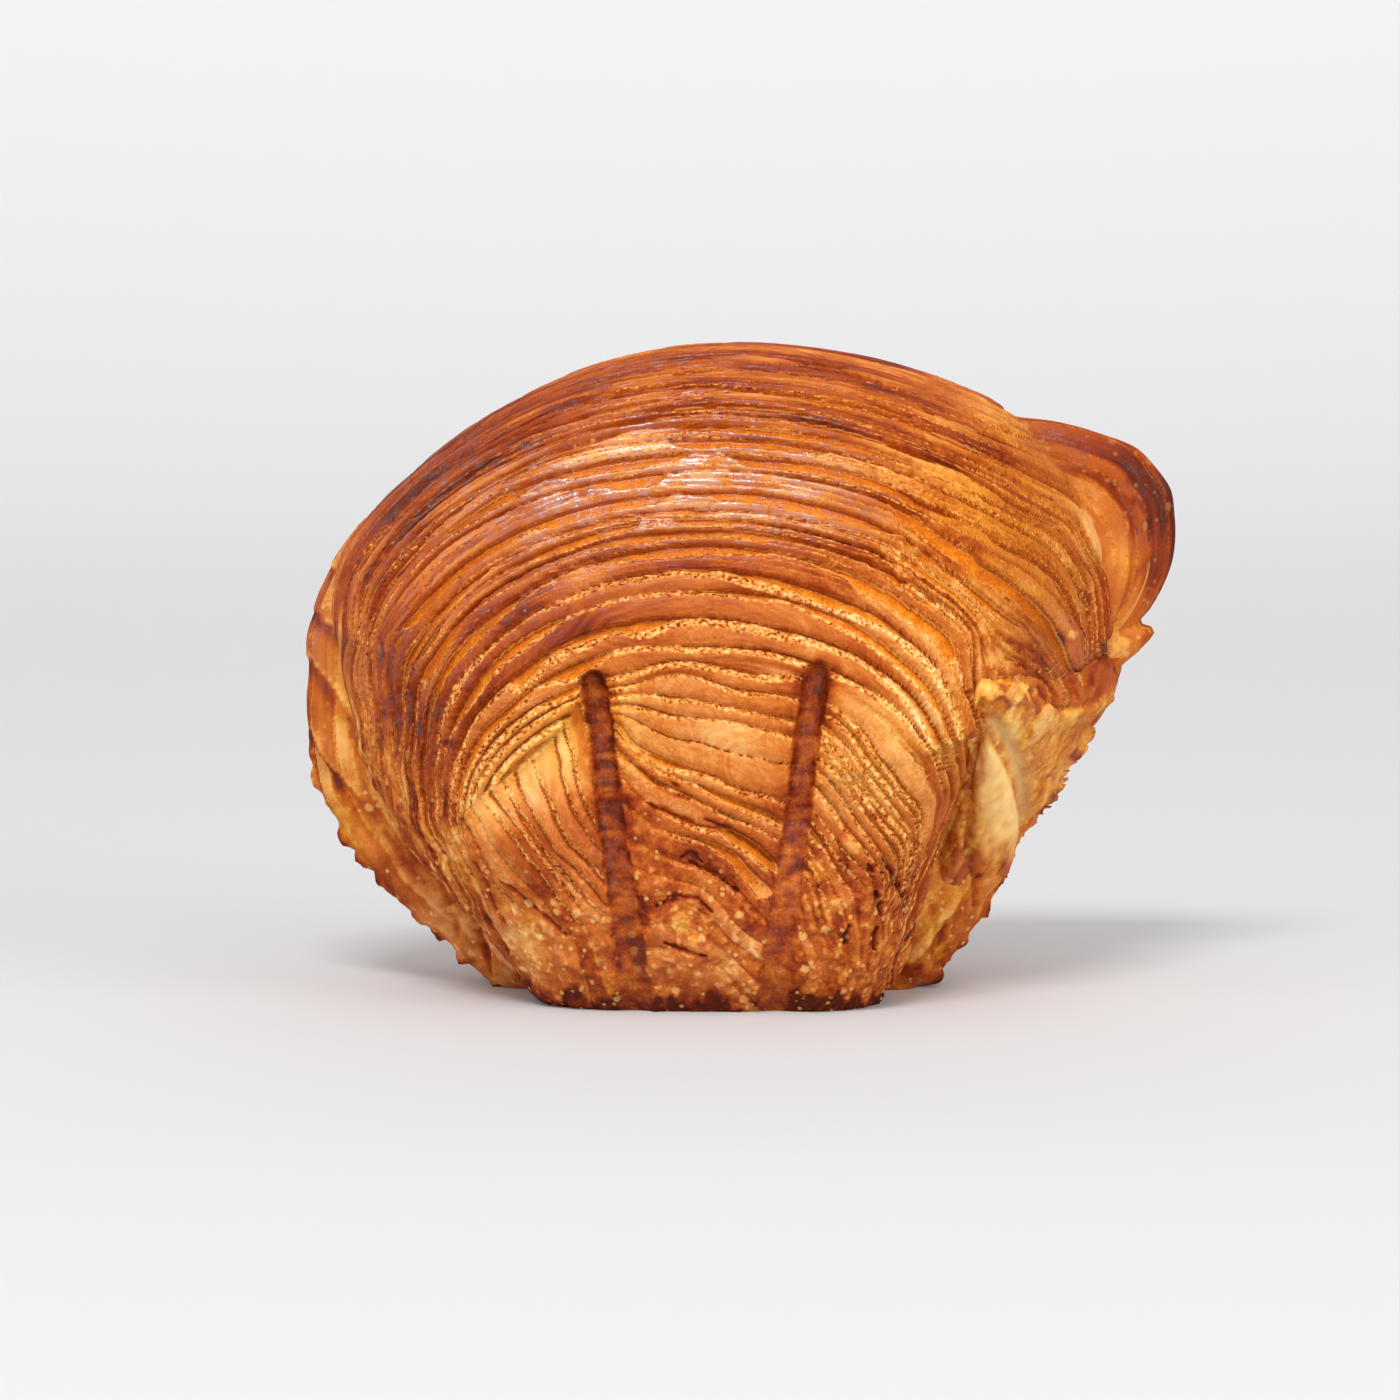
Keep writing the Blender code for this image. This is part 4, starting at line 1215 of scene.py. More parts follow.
def build_back(material):
    turns = np.concatenate([
        np.linspace(0.3, 1.0, NEAR_RINGS), np.linspace(1.0, 1.99, FAR_RINGS)[1:]
    ])
    turn, angle, ring, faces = ring_mesh(turns, ring_sizes(turns, BACK_MOST, SHEET_REACH))
    x, y, z = back_surface(turn, angle)
    co = np.stack([x, y, z], 1)
    normals = vertex_normals(co, faces)
    px, py = view_of(x, y, z)
    found = back_layers(x, z, turn, angle)
    shown = smooth_step(1.12, 1.0, turn)
    wear = rim_wear(angle)
    worn = wear * shown
    wear_down(found, np.maximum(worn, 0.5 * shown))
    single, darker, golden = details(px, py, RIM_CREASES, RIM_PATCHES)
    pleat_painted_shade, pleat_high = pleat_shade(px, py)
    height = found["height"] * (1 - 0.5 * shown)
    height += worn * (0.6 * speckle(81, 2.8, x, y, z) + 0.2 * speckle(83, 0.9, x, y, z))
    height += (single + 0.9 * pleat_high) * shown
    tooth = np.clip(noise(85, angle / 1.5, turn * 3) + 0.1, 0, 1) * bump(turn - 1.0, 0.05)
    height += 1.3 * tooth * wear
    co = co + normals * height[:, None]
    co[:, 2] = np.maximum(co[:, 2], 0.0)
    bake, gold, glaze = region_values(px, py, RIM_REGIONS)
    # The folds' darkness from pleat_shade is painted shade.
    bake = (bake + 0.4 * tooth * wear + pleat_painted_shade) * shown + (1 - shown) * far_browning(x, y, z)
    gold = gold * shown + (1 - shown) * FAR_GOLD
    marks = crust_marks(found, co.T, bake, gold, np.clip(0.8 * worn + 0.25, 0, 1))
    marks["glaze"] = np.clip(glaze * shown + (1 - shown) * FAR_GLAZE, 0, 1)
    darken(marks, darker * shown, golden * shown)
    marks["calm"] = shown * (1 - 0.6 * wear) + 0.3 * (1 - shown)
    normals = vertex_normals(co, faces)
    near_side = ring[faces].max(1) < BACK_SPLIT_RING
    return [
        mesh_object("back_rim", co, faces[near_side], marks, material, normals),
        mesh_object("back_side", co, faces[~near_side], marks, material, normals),
    ]


# ==================== the flaky corner
# Where the rim folds forward at the lower right, in view points around a middle.
CORNER_MIDDLE = (1000, 800)
CORNER_RIM = (
    (1124, 656), (1119, 680), (1112, 699), (1104, 712), (1096, 721), (1091, 732), (1086, 746),
    (1077, 757), (1067, 771), (1063, 784), (1058, 799), (1043, 812), (1030, 823), (1020, 837),
    (1013, 852), (1010, 871), (998, 886), (984, 904), (970, 921), (949, 950), (932, 970),
    (912, 974), (902, 950), (906, 925), (930, 864), (940, 820), (948, 790), (957, 748),
    (972, 725), (975, 690), (982, 672), (1010, 668), (1036, 673), (1056, 676), (1078, 667),
    (1102, 654),
)
RIM_LINE = (
    (1124, 664), (1104, 712), (1091, 732), (1077, 757), (1063, 784), (1043, 812), (1020, 837),
    (1012, 862), (984, 904), (949, 950),
)
ARCH_LINE = (
    (970, 680), (990, 674), (1013, 672), (1023, 677), (1041, 690), (1052, 702), (1064, 709),
    (1080, 707), (1098, 700), (1118, 686),
)
BODY_LINE = (
    (986, 650), (980, 690), (975, 722), (960, 745), (950, 790), (944, 820), (934, 860),
    (904, 925),
)
# How far in front of its edge the corner swells: row of the view, millimetres.
CORNER_DEPTHS = (
    (670, 34), (700, 33), (730, 29), (770, 22), (820, 16), (860, 13), (920, 10), (980, 7),
)
CORNER_EDGE_Y, CORNER_BACK_Y = 7.0, 17.0
CORNER_EDGE_ROUND, FOLD_DEPTH = 2.5, 3.5
CORNER_NEAR_RINGS, CORNER_FAR_RINGS = 110, 16
# Vertices on a ring, and how many rings in a row have that many.
CORNER_RING_SIZES = ((64, 6), (128, 12), (256, 24), (512, 74), (256, 3), (128, 2), (64, 4))
CORNER_BAKE, CORNER_GOLD = 0.37, 0.9
# The dome's wall behind it: lowest angle, cover in millimetres, and how its Y is sought.
WALL_ANGLE, WALL_COVER = 19.5, 0.9
WALL_FIRST_GUESS_Y, WALL_ROUNDS = -20.0, 4
# The pale flap: its line, and its half width at shares of the line, in view points.
FLAP_LINE = ((986, 742), (990, 775), (996, 815), (992, 850), (984, 885))
FLAP_HALF = ((0, 6), (0.25, 19), (0.6, 24), (0.85, 20), (1, 14))
FLAP_HEIGHT, STRIP_DEPTH = 1.6, 0.6
STRIP_LINE = ((993, 722), (1008, 738), (1019, 762), (1024, 790), (1022, 822))
# Creases as in FRONT_CREASES; where one sinks, its darkening is painted shade as well as browner
# dough.
CORNER_CREASES = (
    (((984, 677), (1010, 675), (1036, 685), (1052, 702), (1064, 709)), 4.0, 0.5, 0.24),
    (((1064, 709), (1080, 707), (1098, 700)), 4.0, 0.3, 0.14),
    (((1030, 690), (1038, 702), (1040, 716)), 4.0, 0.4, 0.14),
    (((1056, 700), (1062, 716)), 3.0, 0.3, 0.12),
    (((996, 702), (1004, 698), (1010, 706), (1004, 714)), 3.0, 0.3, 0.20),
    (((982, 700), (978, 730), (980, 760)), 6.0, 0.6, 0.10),
    (((980, 764), (968, 800), (966, 850)), 5.0, 0.6, 0.10),
    (((974, 872), (976, 890), (974, 908)), 3.5, 0.6, 0.28),
)
CORNER_PATCHES = (
    (1100, 723, 8, 4, 0, 0.35, -0.3, 0.0),
    (1076, 757, 5, 6, -40, 0.45, -0.4, 0.0),
    (1058, 797, 8, 6, -30, 0.30, -0.2, 0.0),
    (1043, 812, 7, 5, -30, 0.38, -0.3, 0.0),
    (1027, 830, 6, 5, 0, 0.20, -0.1, 0.0),
    (1012, 728, 8, 14, -20, -0.20, 0.2, 0.3),
    (1004, 708, 4, 4, 0, 0.16, 0.0, 0.0),
    (1000, 870, 20, 12, 0, 0.12, -0.1, 0.0),
)


def corner_outline(angle):
    """Distance of the corner's outline from its middle, in view points."""
    x, y = np.array(CORNER_RIM, float).T
    dx, dy = x - CORNER_MIDDLE[0], CORNER_MIDDLE[1] - y
    at, far = np.degrees(np.arctan2(dy, dx)) % 360, np.hypot(dx, dy)
    order = np.argsort(at)
    reach = np.interp(angle, at[order], far[order], period=360)
    signed = np.where(angle > 180, angle - 360, angle)
    torn = smooth_step(-118, -108, signed) * smooth_step(47, 42, signed)
    return reach * (1 + torn * (0.05 * noise(91, angle / 2.2) + 0.03 * noise(92, angle / 0.9)))


def wall_depth(px, py):
    """Y of the dome's right wall, carried on below its lower edge."""
    y = np.full(px.shape, WALL_FIRST_GUESS_Y)
    for _ in range(WALL_ROUNDS):
        x, z = place_in_view(px, py, y)
        dx, dz = x - HUB[0], z - HUB[1]
        angle = np.maximum(np.degrees(np.arctan2(dz, dx)), WALL_ANGLE)
        share = np.clip(np.hypot(dx, dz) / around(angle, FRONT_OUTLINE), 0, 1)
        y = front_face_y(x, z, share, angle)
    return y


def corner_depth(px, py):
    """Y of the corner's near face, and how far each point is from the dough's body."""
    rim, _ = line_distance(px, py, RIM_LINE)
    body, _ = line_distance(px, py, BODY_LINE)
    inside, beyond = np.maximum(-rim, 0), np.maximum(body, 0)
    share = inside / (inside + beyond + 1)
    rows, depths = np.array(CORNER_DEPTHS, float).T
    y = CORNER_EDGE_Y - np.interp(py, rows, depths) * (1 - (1 - share) ** 2) ** 0.8
    fold = bump(beyond, 16) * smooth_step(715, 765, py)
    arch, _ = line_distance(px, py, ARCH_LINE)
    joined = smooth_step(-24, 0, arch)
    wall = wall_depth(px, py) - WALL_COVER
    return (y + FOLD_DEPTH * fold) * (1 - joined) + wall * joined, beyond


def corner_surface(turn, angle):
    """Points of the corner, where each is seen, and how far it is from the dough's body."""
    facing = np.clip(turn, 0, 1)
    behind = np.clip(turn - 1, 0, 1)
    reach = corner_outline(angle) * facing * np.cos(0.5 * math.pi * behind) ** 0.5
    px = CORNER_MIDDLE[0] + reach * np.cos(np.radians(angle))
    py = CORNER_MIDDLE[1] - reach * np.sin(np.radians(angle))
    y, beyond = corner_depth(px, py)
    y = y + CORNER_EDGE_ROUND * smooth_step(0.93, 1.0, facing) ** 2
    y = y + (CORNER_BACK_Y - y) * np.sin(0.5 * math.pi * behind)
    x, z = place_in_view(px, py, y)
    return np.stack([x, y, z], 1), px, py, beyond


def corner_flap(px, py):
    """Where the pale flap is, how it swells, and its shaded left side."""
    away, share = line_distance(px, py, FLAP_LINE)
    at, half = np.array(FLAP_HALF, float).T
    off = np.abs(away) / np.interp(np.clip(share, 0, 1), at, half)
    ends = smooth_step(-0.05, 0.03, share) * smooth_step(1.3, 0.8, share)
    crown = np.sqrt(np.clip(1 - off**2, 0, 1)) * ends
    left_side = smooth_step(0.0, 1.0, np.where(away < 0, off, 0))
    return smooth_step(1.1, 0.65, off) * ends, crown, left_side


def corner_strip(px, py):
    """1 along the shaded strip at the flap's right."""
    away, share = line_distance(px, py, STRIP_LINE)
    return bump(away, 7) * smooth_step(1.2, 0.8, share) * smooth_step(-0.2, 0.1, share)


def corner_layers(px, py, rough, striped):
    """Torn layers along the rim, and the dome's stripes on its wall above."""
    rim, share = line_distance(px, py, RIM_LINE)
    found = layers(
        np.maximum(-rim, 0) / PER_MM, 45 * share, np.ones(len(px)), CORNER_TABLE, 600,
        wander=0.6, steep=0.3, deep=0.15,
    )
    wear_down(found, np.clip(1 - 0.25 * rough, 0, 1), 1.0)
    bands = layers(
        *read_field(STRIPES, px, py), TOP_TABLE + DOME_LAYERS, 100, px=px, steep=0.5, deep=0.4
    )
    return blend_layers(found, bands, striped)


def corner_marks(px, py, place, found, zones):
    """Golden and dry, browner low down, paler in the fold as painted light, pale on the flap with
    painted shade, and as the dome on its wall.
    """
    beyond, wall, rough, flap, left_side, strip = zones
    x, y, z = place
    # Painted light: the fold beside the body is made paler than the shade that falls in it.
    fold = bump(beyond, 18) * smooth_step(700, 740, py)
    low = smooth_step(800, 880, py + 10 * noise(94, px / 14, py / 14))
    blotch = 0.13 * speckle(98, 2.0, x, y, z) + 0.13 * speckle(99, 0.9, x, y, z)
    blotch = blotch * (1 - wall)
    bake = CORNER_BAKE - 0.18 * fold + 0.13 * low + 1.1 * blotch - 0.08 * flap
    front_bake, front_gold, _ = region_values(px, py, REGIONS)
    bake = bake * (1 - wall) + front_bake * wall
    bake = bake + 0.35 * smooth_step(4, 0.5, z + noise(68, x / 1.5))
    gold = (CORNER_GOLD - 0.35 * low) * (1 - wall) + front_gold * wall
    marks = crust_marks(found, place, bake, gold, 0.7 * rough)
    worn_flap = 0.85 + 0.3 * speckle(96, 1.5, x, y, z)
    # Less raw colour on the flap's left side: painted shade.
    marks["raw"] = flap * np.clip((1 - low * 1.2) * worn_flap, 0, 1) * (1 - 0.6 * left_side)
    # Painted shade: the strip at the flap's right takes a shaded copy of the raw colour.
    marks["raw_shade"] = 0.7 * strip
    marks["calm"] = 1 - 0.6 * rough
    marks["glaze"] = 0.1 * rough
    return marks


def build_corner(material):
    turns = np.concatenate([
        np.linspace(0.01, 1.0, CORNER_NEAR_RINGS), np.linspace(1.0, 1.98, CORNER_FAR_RINGS)[1:]
    ])
    sizes = [size for size, rings in CORNER_RING_SIZES for _ in range(rings)]
    turn, angle, _, faces = ring_mesh(turns, sizes)
    co, px, py, beyond = corner_surface(turn, angle)
    normals = vertex_normals(co, faces)
    flap, crown, left_side = corner_flap(px, py)
    strip = corner_strip(px, py) * (1 - flap)
    rough = (1 - flap) * (1 - strip)
    arch, _ = line_distance(px, py, ARCH_LINE)
    wall = smooth_step(-3, 4, arch)
    found = corner_layers(px, py, rough, wall * smooth_step(1098, 1072, px))
    rough = rough * (1 - wall)
    own = details(px, py, CORNER_CREASES, CORNER_PATCHES)
    dome = details(px, py, FRONT_CREASES, FRONT_PATCHES)
    single, darker, golden = (a + wall * b for a, b in zip(own, dome))
    height = FLAP_HEIGHT * crown - STRIP_DEPTH * strip + single + found["height"]
    place = co.T
    height += rough * (0.5 * speckle(93, 3.0, *place) + 0.22 * speckle(95, 1.1, *place))
    height += flap * 0.12 * noise(97, (px - 900) / 7, py / 40)
    height = height * smooth_step(1.15, 1.0, turn)
    co = co + normals * height[:, None]
    zones = beyond, wall, rough, flap, left_side, strip
    marks = corner_marks(px, py, co.T, found, zones)
    darken(marks, darker, golden)
    return [mesh_object("rim_corner", co, faces, marks, material, vertex_normals(co, faces))]


# ==================== material
def linear(red, green, blue):
    """Screen colour, 0 to 255, as light."""
    out = []
    for value in (red, green, blue):
        value = value / 255
        out.append(value / 12.92 if value <= 0.04045 else ((value + 0.055) / 1.055) ** 2.4)
    return (*out, 1.0)


# Browning from pale to burnt: share, then screen colour.
WARM_RAMP = (
    (0.0, (246, 216, 172)), (0.18, (236, 182, 122)), (0.36, (217, 147, 84)),
    (0.52, (197, 110, 46)), (0.68, (171, 80, 24)), (0.84, (139, 48, 10)), (1.0, (84, 25, 5)),
)
GOLD_RAMP = (
    (0.0, (246, 222, 152)), (0.18, (240, 190, 98)), (0.36, (226, 156, 54)),
    (0.52, (203, 120, 26)), (0.68, (176, 86, 13)), (0.84, (138, 52, 6)), (1.0, (86, 28, 3)),
)
# Gaps between layers: the browner dough inside, darkened as painted shade under the layer above.
GAP_SHADE_COLOUR = (158, 66, 12)
GLAZED_GAP_SHADE_COLOUR = (180, 80, 8)
AMBER_COLOUR = (212, 108, 8)
RIM_COLOUR = (237, 182, 104)
# Near-white colour of the painted glints on the glaze.
GLINT_COLOUR = (255, 236, 214)
RAW_COLOUR = (254, 210, 134)
# A shaded copy of RAW_COLOUR, painted as shade on the strip at the flap's right.
SHADED_RAW_COLOUR = (208, 168, 112)

# Noise scales for each metre, and the size in millimetres of streaks across and along.
GRAIN_SCALE, MOTTLE_SCALE, PITS_SCALE, DOT_EDGE_SCALE = 2300, 520, 1700, 2000
STREAK_SIZE, BAND_SIZE = (0.16, 5.0), (0.7, 3.5)
# Dots: cells for each metre, size in a cell, share of the cells that stay empty.
# The glaze's dots are painted glints that stand in for sparkles of light.
PAINTED_GLINTS = (700, 0.13, 0.85)
SMALL_BLISTERS, BIG_BLISTERS = (650, 0.26, 0.54), (330, 0.26, 0.6)
MATT_ROUGHNESS = 0.42
COAT_IOR, COAT_ROUGHNESS, SPECULAR_LEVEL = 2.8, 0.22, 0.1
BUMP_STRENGTH, BUMP_DISTANCE = 0.7, 0.0002


class Level:
    """A value that changes over the surface. Arithmetic on it adds math nodes."""

    def __init__(self, nodes, socket):
        self.nodes = nodes
        self.socket = socket

    def __add__(self, other):
        return self.nodes.math("ADD", self, other)

    def __sub__(self, other):
        return self.nodes.math("SUBTRACT", self, other)

    def __rsub__(self, other):
        return self.nodes.math("SUBTRACT", other, self)

    def __mul__(self, other):
        return self.nodes.math("MULTIPLY", self, other)

    def clamped(self):
        """The same kept within 0 and 1, in the math node that made it."""
        self.socket.node.use_clamp = True
        return self


class Nodes:
    """Short ways to add and join shader nodes."""

    def __init__(self, material):
        material.use_nodes = True
        self.tree = material.node_tree
        self.shader = self.tree.nodes["Principled BSDF"]
        self.place = self.add("ShaderNodeTexCoord").outputs["Object"]

    def add(self, kind, **settings):
        node = self.tree.nodes.new(kind)
        for key, value in settings.items():
            setattr(node, key, value)
        return node

    def feed(self, value, socket):
        if isinstance(value, Level):
            value = value.socket
        if isinstance(value, bpy.types.NodeSocket):
            self.tree.links.new(value, socket)
        else:
            socket.default_value = value

    def mark(self, name):
        return Level(self, self.add("ShaderNodeAttribute", attribute_name=name).outputs["Fac"])

    def math(self, operation, *values):
        node = self.add("ShaderNodeMath", operation=operation)
        for value, socket in zip(values, node.inputs):
            self.feed(value, socket)
        return Level(self, node.outputs[0])

    def noise(self, scale, detail=3.0, rough=0.55):
        node = self.add("ShaderNodeTexNoise")
        node.inputs["Scale"].default_value = scale
        node.inputs["Detail"].default_value = detail
        node.inputs["Roughness"].default_value = rough
        self.feed(self.place, node.inputs["Vector"])
        return Level(self, node.outputs["Fac"])

    def streaks(self, across, along):
        """Noise drawn out along the layers: its size in millimetres across and along them."""
        node = self.add("ShaderNodeCombineXYZ")
        self.feed(self.mark("across") * (1 / across), node.inputs["X"])
        self.feed(self.mark("along") * (1 / along), node.inputs["Y"])
        noise_node = self.add("ShaderNodeTexNoise", noise_dimensions="2D")
        noise_node.inputs["Scale"].default_value = 1.0
        noise_node.inputs["Detail"].default_value = 2.0
        self.feed(node.outputs["Vector"], noise_node.inputs["Vector"])
        return Level(self, noise_node.outputs["Fac"])

    def sharpen(self, mark, grain, share, gain):
        """The mark with a ragged edge that the grain makes."""
        ragged = mark + (grain - 0.5) * share
        return ((ragged - 0.5) * gain + 0.5).clamped()

    def ragged_rim(self, mark, grain):
        """1 along the edge of a mark, broken by the grain."""
        away = self.math("ABSOLUTE", mark + (grain - 0.5) * 0.5 - 0.5)
        return (1.0 - away * 4.0).clamped()

    def specks(self, scale, size, rare):
        """Small round dots, in one of each few cells."""
        node = self.add("ShaderNodeTexVoronoi")
        node.inputs["Scale"].default_value = scale
        self.feed(self.place, node.inputs["Vector"])
        uneven = (self.noise(DOT_EDGE_SCALE) - 0.5) * 0.3
        near = uneven + size - Level(self, node.outputs["Distance"])
        near = (near * (2.5 / size)).clamped()
        split = self.add("ShaderNodeSeparateColor")
        self.feed(node.outputs["Color"], split.inputs["Color"])
        return near * self.math("GREATER_THAN", Level(self, split.outputs["Red"]), rare)

    def ramp(self, value, stops):
        node = self.add("ShaderNodeValToRGB")
        elements = node.color_ramp.elements
        while len(elements) < len(stops):
            elements.new(0.5)
        for element, (at, colour) in zip(elements, stops):
            element.position = at
            element.color = linear(*colour)
        self.feed(value, node.inputs["Fac"])
        return Level(self, node.outputs["Color"])

    def mix(self, share, a, b):
        node = self.add("ShaderNodeMix", data_type="RGBA")
        for name, value in (("Factor", share), ("A", a), ("B", b)):
            self.feed(value, node.inputs[name])
        return Level(self, [o for o in node.outputs if o.type == "RGBA"][0])


def crust_material():
    """Browned dough: crumbly edges, amber openings, gaps partly in painted shade, glaze with
    painted glints, raw places, a strip in painted shade.
    """
    material = bpy.data.materials.new("baked_crust")
    nodes = Nodes(material)
    names = ("bake", "gap", "crumb", "floor", "gold", "satin", "glaze", "raw", "rough", "calm")
    bake, gap, crumb, floor, gold, satin, glaze, raw, rough, calm = (nodes.mark(m) for m in names)
    grain, mottle = nodes.noise(GRAIN_SCALE, 3.0, 0.65), nodes.noise(MOTTLE_SCALE)
    streak, band = nodes.streaks(*STREAK_SIZE), nodes.streaks(*BAND_SIZE)
    kept = 1.0 - calm * 0.6
    grainy = (grain - 0.5) * (0.9 - rough * 0.5)
    uneven = (grainy + (mottle - 0.5) * 0.6) * ((1.25 - satin + glaze * 0.5) * kept)
    lined = ((streak - 0.5) * 0.08 + (band - 0.5) * 0.16) * satin
    shade = bake + (uneven + lined)
    crumbs = nodes.sharpen(crumb, grain, 0.9, 2.5) * kept
    pits = (nodes.noise(PITS_SCALE, 2.0) - 0.5) * 2.0
    shade = (shade - crumbs * (0.02 - pits * 0.9)).clamped()
    colour = nodes.mix(gold, nodes.ramp(shade, WARM_RAMP), nodes.ramp(shade, GOLD_RAMP))
    pale_rim = linear(*RIM_COLOUR)
    colour = nodes.mix(crumbs * (0.16 - pits).clamped(), colour, pale_rim)
    colour = nodes.mix(nodes.sharpen(floor, grain, 0.5, 3.0) * 0.5, colour, linear(*AMBER_COLOUR))
    colour = nodes.mix(nodes.ragged_rim(floor, grain) * 0.6, colour, pale_rim)
    # Gap colour: partly painted shade under the overhanging layer, partly the browner dough
    # inside.
    gap_shade_colour = nodes.mix(glaze, linear(*GAP_SHADE_COLOUR), linear(*GLAZED_GAP_SHADE_COLOUR))
    colour = nodes.mix(nodes.sharpen(gap, grain, 0.8, 2.2) * 0.85, colour, gap_shade_colour)
    # Painted glints: near-white dots where the glaze is, standing in for sparkles of light; they
    # also raise the bump.
    specks = nodes.specks(*PAINTED_GLINTS) * (glaze * 1.2).clamped()
    colour = nodes.mix(specks, colour, linear(*GLINT_COLOUR))
    small, big = nodes.specks(*SMALL_BLISTERS), nodes.specks(*BIG_BLISTERS)
    blisters = nodes.math("MAXIMUM", small, big) * rough
    colour = nodes.mix(blisters * 0.65, colour, pale_rim)
    colour = nodes.mix(raw, colour, linear(*RAW_COLOUR))
    # Painted shade: the strip at the flap's right in a shaded copy of the raw colour.
    colour = nodes.mix(nodes.mark("raw_shade"), colour, linear(*SHADED_RAW_COLOUR))
    nodes.feed(colour, nodes.shader.inputs["Base Color"])
    crust_gloss(nodes, satin, glaze, (mottle, band, grain))
    grit = grain * (glaze * 0.5 - satin + 1.2)
    crust_bump(nodes, grit + mottle * 0.8 + streak * 0.3 + (specks + blisters) * 0.5)
    return material


def crust_gloss(nodes, satin, glaze, patterns):
    """A dry skin under a patchy coat of glaze."""
    mottle, band, grain = patterns
    shader = nodes.shader
    wear = (1.0 - satin) * 0.22 + mottle * 0.3
    nodes.feed(wear - glaze * 0.28 + MATT_ROUGHNESS, shader.inputs["Roughness"])
    shader.inputs["Specular IOR Level"].default_value = SPECULAR_LEVEL
    patchy = (mottle - 0.5) + (band - 0.5) * 0.5 + (grain - 0.5) * 0.8
    nodes.feed((glaze * (patchy * 5.0 + 0.7)).clamped(), shader.inputs["Coat Weight"])
    shader.inputs["Coat Roughness"].default_value = COAT_ROUGHNESS
    shader.inputs["Coat IOR"].default_value = COAT_IOR


def crust_bump(nodes, height):
    node = nodes.add("ShaderNodeBump")
    node.inputs["Strength"].default_value = BUMP_STRENGTH
    node.inputs["Distance"].default_value = BUMP_DISTANCE
    nodes.feed(height, node.inputs["Height"])
    for name in ("Normal", "Coat Normal"):
        nodes.feed(node.outputs["Normal"], nodes.shader.inputs[name])


# ==================== stage
# All in metres. The paper's floor runs to the curve, which rises to the backdrop.
STAGE_COLOUR = (204, 203, 204)
PAPER_FROM_Y, CURVE_FROM_Y, CURVE_RADIUS, CURVE_STEPS = -3.0, 0.9, 1.1, 16
BACKDROP_TOP, PAPER_HALF_WIDTH = 4.0, 4.0
PAPER_ROUGHNESS, PAPER_SPECULAR = 0.9, 0.2
WORLD_STRENGTH = 0.695
# Name, place, aim, size, power.
LIGHTS = (
    ("key_light", (0.1, -1.7, 1.8), (0, 0, 0.05), (2.4, 1.2), 4.9),
    ("right_light", (1.1, -0.8, 0.5), (0.04, 0, 0.0), (0.8, 0.6), 7.2),
    ("left_light", (-1.1, -0.8, 0.5), (-0.04, 0, 0.0), (0.8, 0.6), 3.2),
    ("gloss_light", (-0.25, -1.0, 1.34), (0, 0, 0.07), (0.6, 0.32), 15),
    ("backdrop_light", (0.0, 1.5, 1.0), (0, 1.5, 0.0), (2.8, 0.5), 11),
)


def plain_material(name, colour, rough, specular):
    material = bpy.data.materials.new(name)
    material.use_nodes = True
    shader = material.node_tree.nodes["Principled BSDF"]
    shader.inputs["Base Color"].default_value = colour
    shader.inputs["Roughness"].default_value = rough
    shader.inputs["Specular IOR Level"].default_value = specular
    return material


def build_stage():
    """A pale floor that sweeps up into the backdrop."""
    profile = [(PAPER_FROM_Y, 0.0), (CURVE_FROM_Y, 0.0)]
    for step in range(1, CURVE_STEPS + 1):
        turn = 0.5 * math.pi * step / CURVE_STEPS
        y = CURVE_FROM_Y + CURVE_RADIUS * math.sin(turn)
        profile.append((y, CURVE_RADIUS * (1 - math.cos(turn))))
    profile.append((CURVE_FROM_Y + CURVE_RADIUS, BACKDROP_TOP))
    co, faces = [], []
    for y, z in profile:
        co += [(-PAPER_HALF_WIDTH, y, z), (PAPER_HALF_WIDTH, y, z)]
    for i in range(len(profile) - 1):
        faces.append((2 * i, 2 * i + 1, 2 * i + 3, 2 * i + 2))
    mesh = bpy.data.meshes.new("studio_sweep")
    mesh.from_pydata(co, [], faces)
    for polygon in mesh.polygons:
        polygon.use_smooth = True
    colour = linear(*STAGE_COLOUR)
    mesh.materials.append(plain_material("studio_paper", colour, PAPER_ROUGHNESS, PAPER_SPECULAR))
    sweep = bpy.data.objects.new("studio_sweep", mesh)
    bpy.context.scene.collection.objects.link(sweep)


def area_light(name, place, aim, size, power):
    light = bpy.data.lights.new(name, "AREA")
    light.shape = "RECTANGLE"
    light.size, light.size_y = size
    light.energy = power
    obj = bpy.data.objects.new(name, light)
    bpy.context.scene.collection.objects.link(obj)
    obj.location = place
    direction = Vector(aim) - Vector(place)
    obj.rotation_euler = direction.to_track_quat("-Z", "Y").to_euler()


def build_lights():
    for light in LIGHTS:
        area_light(*light)
    world = bpy.data.worlds.new("studio")
    world.use_nodes = True
    background = world.node_tree.nodes["Background"]
    background.inputs["Color"].default_value = (1, 1, 1, 1)
    background.inputs["Strength"].default_value = WORLD_STRENGTH
    bpy.context.scene.world = world


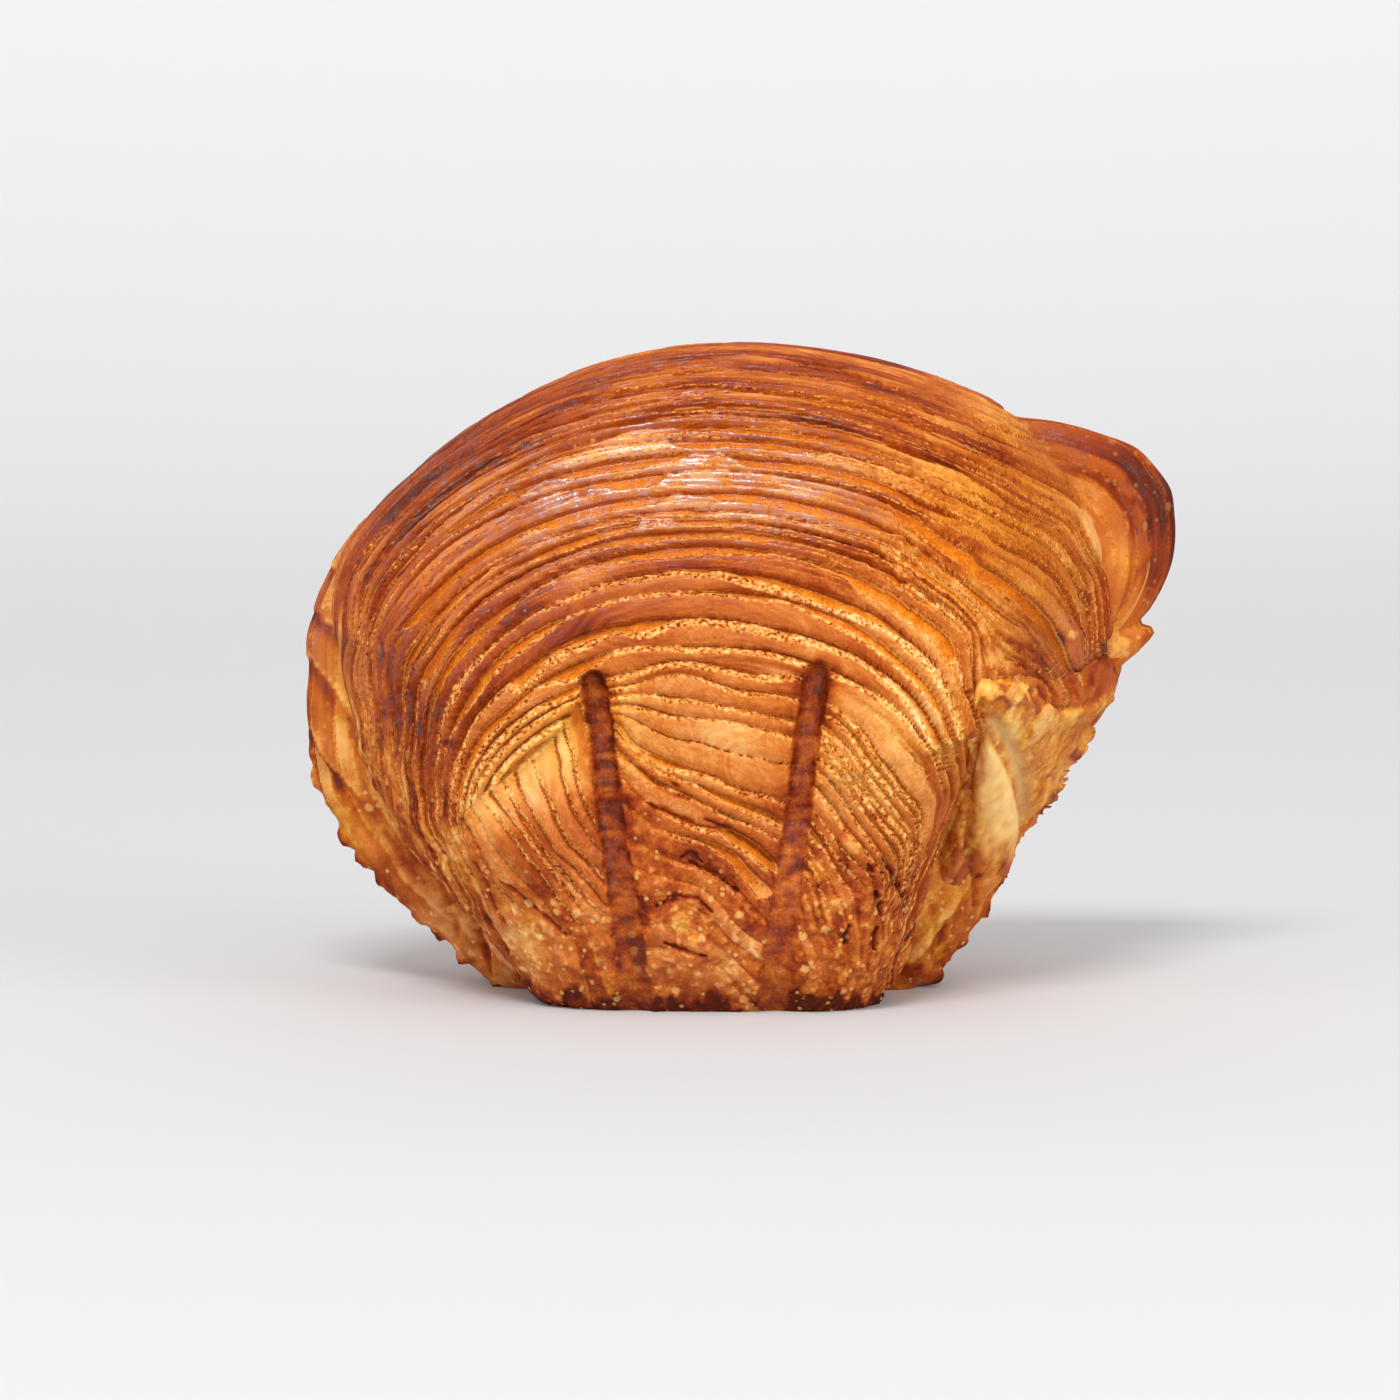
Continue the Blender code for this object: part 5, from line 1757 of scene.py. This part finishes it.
def build_camera():
    camera = bpy.data.cameras.new("view_camera")
    camera.sensor_width = SENSOR
    camera.sensor_fit = "HORIZONTAL"
    camera.lens = FOCAL / VIEW_SIZE * SENSOR
    camera.clip_start, camera.clip_end = CLIP_RANGE
    obj = bpy.data.objects.new("view_camera", camera)
    bpy.context.scene.collection.objects.link(obj)
    obj.location = (
        TARGET[0] * MM,
        (TARGET[1] - DISTANCE * math.cos(ELEVATION)) * MM,
        (TARGET[2] + DISTANCE * math.sin(ELEVATION)) * MM,
    )
    obj.rotation_euler = (math.pi / 2 - ELEVATION, 0, 0)
    bpy.context.scene.camera = obj


# ==================== all together
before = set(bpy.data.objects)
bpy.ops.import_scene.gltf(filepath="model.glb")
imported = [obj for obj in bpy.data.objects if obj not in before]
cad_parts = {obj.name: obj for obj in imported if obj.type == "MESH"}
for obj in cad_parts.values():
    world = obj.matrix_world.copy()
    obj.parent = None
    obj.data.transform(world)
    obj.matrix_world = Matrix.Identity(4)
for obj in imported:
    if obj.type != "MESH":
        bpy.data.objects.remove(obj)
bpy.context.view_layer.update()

build_camera()
build_stage()
build_lights()
bpy.context.scene.view_settings.view_transform = "Standard"

STRIPES = field_grid(*guide_points())
CENTRE = field_grid(*lines_with_lengths(CENTRE_STRIPES))
LOBE = field_grid(*lines_with_lengths(LOBE_STRIPES))
TOP_TABLE = tuple(random_layers(150, 350, TOP_STEP, 2, 2, 7))
FINE_TABLE = random_layers(150, 620, FINE_STEP, 1.6, 1.6, 11)
RIGHT_TABLE = random_layers(550, 1100, RIGHT_STEP, 2.5, 5, 8)
LOBE_TABLE = random_layers(-90, 220, LOBE_STEP, 2, 3, 9)
BACK_TABLE = random_layers(-90, 90, BACK_STEP, 2, 3, 10)
FAR_TABLE = random_layers(-40, 200, 1.5 * BACK_STEP, 2, 2.5, 13)
CORNER_TABLE = random_layers(-10, 40, 2.0, 1.5, 3, 12)

crust = crust_material()
for piece in build_front(crust) + build_back(crust) + build_corner(crust):
    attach(piece, "root")
    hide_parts("turnover")
